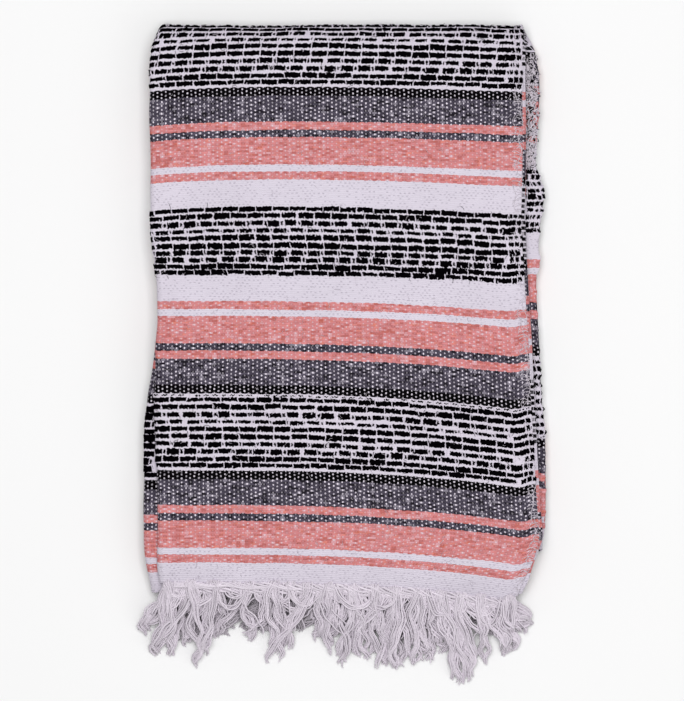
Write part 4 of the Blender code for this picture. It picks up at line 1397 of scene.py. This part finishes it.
fringeRandom = np.random.default_rng(5)
frontYarns = lockYarns(fringe["tips"], fringe["front"], frontStart, 1.0, fringeRandom)
fringeFront = yarnPiece("fringeFront", frontYarns, fringeRandom, fringe["yarnRadius"], fringeYarn)
looseYarns = garlandYarns(fringe["garlands"], frontStart, fringeRandom)
looseYarns += stubYarns(fringe["stubs"], frontStart, fringeRandom)
fringeLoops = yarnPiece("fringeLoops", looseYarns, fringeRandom, fringe["yarnRadius"], fringeYarn)
secondYarns = lockYarns(fringe["underTips"], fringe["second"], secondStart, 0.8, fringeRandom)
fringeSecond = yarnPiece("fringeSecond", secondYarns, fringeRandom, fringe["yarnRadius"], fringeYarn,
                         paintedShade=fringe["secondShade"])
fringeHeader = yarnPiece("fringeHeader", headerYarns(), fringeRandom, fringe["headerRadius"], fringeYarn)


def selvedgeLoops(random):  # weft yarns that turn back at the front's selvedge
    yarns = []
    steps = np.linspace(0, 1, 9)
    outer = stack["width"] + math.pi * edge
    for run in np.arange(2 * mm, straight + 30 * mm, 2.4 * mm):
        inner = stack["width"] - random.uniform(2, 9) * mm
        across = inner + (outer - inner) * steps
        drift = random.uniform(-3.4, 3.4) * mm * steps + 0.9 * mm * np.sin(steps * random.uniform(3, 8))
        lift = frontLift(across, run) + (0.05 + random.uniform(0.0, 0.5) * np.sin(math.pi * steps)) * mm
        yarns.append(frontPlace(across, run + drift, lift))
    for run in np.arange(8 * mm, straight, 11 * mm):
        length = random.uniform(9, 26) * mm
        across = stack["width"] + random.uniform(-6, 1.5) * mm
        across = across + 1.6 * mm * np.sin(steps * random.uniform(4, 9) + run * 900)
        along = run + length * (steps - 0.5)
        yarns.append(frontPlace(across, along, frontLift(across, along) + random.uniform(0.05, 0.4) * mm))
    return yarns


def strayFibres(spots, place, liftOf, random):  # fine ends that stand off the yarns
    yarns = []
    steps = np.linspace(0, 1, 6)
    for across, run in spots:
        turn = random.choice([-1, 1]) * (math.pi / 2 + 0.6 * random.standard_normal())
        reach = random.uniform(2.0, 5.5) * mm
        bend = random.uniform(-1.2, 1.2)
        acrosses = across + reach * steps * np.cos(turn + bend * steps)
        runs = run + reach * steps * np.sin(turn + bend * steps)
        lift = liftOf(acrosses, runs) + (0.7 + 0.5 * np.sin(math.pi * steps)) * mm
        yarns.append(place(acrosses, runs, lift))
    return yarns


def fibrePiece(name, spots, place, liftOf, radius, material):
    yarns = strayFibres(spots, place, liftOf, looseRandom)
    return yarnPiece(name, yarns, looseRandom, radius, material, 3)


def bandSpots(count, random):
    band = random.integers(0, 3, count)
    width = np.array(bands["widths"])[band % 2]
    runs = bands["first"] + band * bands["step"] + (random.random(count) - 0.5) * width * 0.98
    return np.column_stack([random.uniform(-10 * mm, stack["width"] - 10 * mm, count), runs])


loose = {
    "selvedgeRadius": 0.24 * mm,
    "blackCount": 420,
    "blackRadius": 0.20 * mm,
    "paleCount": 380,
    "paleRadius": 0.15 * mm,
    "stripBlackCount": 270,
    "stripBlackRadius": 0.38 * mm,
    "stripPaleCount": 500,
    "stripPaleRadius": 0.48 * mm,
}
looseRandom = np.random.default_rng(17)
selvedge = yarnPiece("selvedgeLoops", selvedgeLoops(looseRandom), looseRandom, loose["selvedgeRadius"],
                     fringeYarn, 4)
blackSpots = bandSpots(loose["blackCount"], looseRandom)
blackFibres = fibrePiece("blackFibres", blackSpots, frontPlace, frontLift, loose["blackRadius"], floatYarn)
paleSpots = np.column_stack([
    looseRandom.uniform(-12 * mm, stack["width"], loose["paleCount"]),
    looseRandom.uniform(3 * mm, straight + 40 * mm, loose["paleCount"]),
])
paleFibres = fibrePiece("paleFibres", paleSpots, frontPlace, frontLift, loose["paleRadius"], fringeYarn)
frontExtras = [selvedge, blackFibres, paleFibres]


def stripSpots(count, random):  # the lower strip's rough upper part, beside the front
    return np.column_stack([
        random.uniform(lowerStrip["width"] - 12 * mm, lowerStrip["width"], count),
        stack["lowerRun"] + random.uniform(6 * mm, 100 * mm, count),
    ])


stripBlack = stripSpots(loose["stripBlackCount"], looseRandom)
lowerBlack = fibrePiece("lowerBlackYarns", stripBlack, lowerPlace, lowerLift, loose["stripBlackRadius"],
                        floatYarn)
stripPale = stripSpots(loose["stripPaleCount"], looseRandom)
lowerPale = fibrePiece("lowerPaleYarns", stripPale, lowerPlace, lowerLift, loose["stripPaleRadius"],
                       fringeYarn)
lowerLoose = [lowerBlack, lowerPale]
print("fringe", [len(o.data.polygons) for o in (fringeFront, fringeSecond, fringeHeader)])


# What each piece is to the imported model

floorName = "restingSurface"
withFront = [*frontThreads, *edgeThreads, *frontExtras, fringeFront, fringeLoops, fringeHeader]
sheets = (  # the piece, its node, its flat size and what lies on it
    (frontPanel, "front_panel", (0.330, 0.505), withFront),
    (backPanel, "back_panel", (0.330, 0.463), []),
    (secondPanel, "second_panel", (0.034, 0.456), [*secondThreads, fringeSecond]),
    (lowerFold, "lower_fold", (0.035, 0.393), [*lowerThreads, *lowerLoose]),
    (innerLeft, "hidden_layers", (0.075, 0.92), []),
    (innerRight, "hidden_layers", (0.085, 0.92), []),
    (overhangEnds, "hidden_layers", (0.310, 0.068), []),
)
for piece, node, flat, others in sheets:
    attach(piece, "root")
    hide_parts(node)
    for other in others:
        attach(other, "root")
    area = sum(polygon.area for polygon in piece.data.polygons)
    print(piece.name, "share of the flat area", round(area / flat[0] / flat[1], 3))
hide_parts("fringe_front")
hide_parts("fringe_second")


# Floor, light and camera

studio = {
    "floor": 8.0,
    "floorZ": -0.15 * mm,
    "floorTone": 0.84,
    "distance": 5.0,
    "target": (-0.4 * mm, 2.5 * mm, 38 * mm),
    "frameHeight": 588.8 * mm,
    "world": 0.36,
    "sensor": 36.0,
    "softboxes": (  # name, place, size, power
        ("topSoftbox", (-0.05, 0.30, 3.0), 1.5, 70.0),
        ("fillSoftbox", (1.4, -1.0, 2.0), 2.0, 8.0),
    ),
}


def studioFloor():
    half = studio["floor"] / 2
    mesh = bpy.data.meshes.new(floorName)
    corners = ((-half, -half), (half, -half), (half, half), (-half, half))
    mesh.from_pydata([(*corner, studio["floorZ"]) for corner in corners], [], [(0, 1, 2, 3)])
    made, tree, shader = startMaterial("pale paper", 0.9, 0.1, 0.0)
    grain = addNode(tree, "ShaderNodeTexNoise", {"Scale": 40.0, "Detail": 2.0}).outputs[0]
    tint = calc(tree, "MULTIPLY_ADD", grain, 0.01, studio["floorTone"])
    tree.links.new(greyOf(tree, tint), shader.inputs["Base Color"])
    obj = newObject(floorName, mesh, made)


def areaLight(name, place, size, power):
    light = bpy.data.lights.new(name, "AREA")
    light.size = size
    light.energy = power
    obj = bpy.data.objects.new(name, light)
    obj.visible_camera = False
    obj.location = place
    obj.rotation_euler = (Vector((0, 0, 0)) - Vector(place)).to_track_quat("-Z", "Y").to_euler()
    bpy.context.scene.collection.objects.link(obj)


studioFloor()
for softbox in studio["softboxes"]:
    areaLight(*softbox)
world = bpy.data.worlds.new("studio")
world.use_nodes = True
world.node_tree.nodes["Background"].inputs[0].default_value = (1.0, 1.0, 1.0, 1.0)
world.node_tree.nodes["Background"].inputs[1].default_value = studio["world"]
bpy.context.scene.world = world
bpy.context.scene.view_settings.view_transform = "Standard"
bpy.context.scene.view_settings.look = "None"

camera = bpy.data.objects.new("camera", bpy.data.cameras.new("camera"))
camera.data.sensor_width = studio["sensor"]
camera.data.lens = studio["sensor"] * studio["distance"] / studio["frameHeight"]
camera.data.clip_start = 0.1
camera.data.clip_end = 50.0
camera.location = Vector(studio["target"]) + Vector((0, 0, studio["distance"]))
bpy.context.scene.collection.objects.link(camera)
bpy.context.scene.camera = camera

for shape in (floatShape, tieShape):
    bpy.data.objects.remove(shape)
print("scene ready")
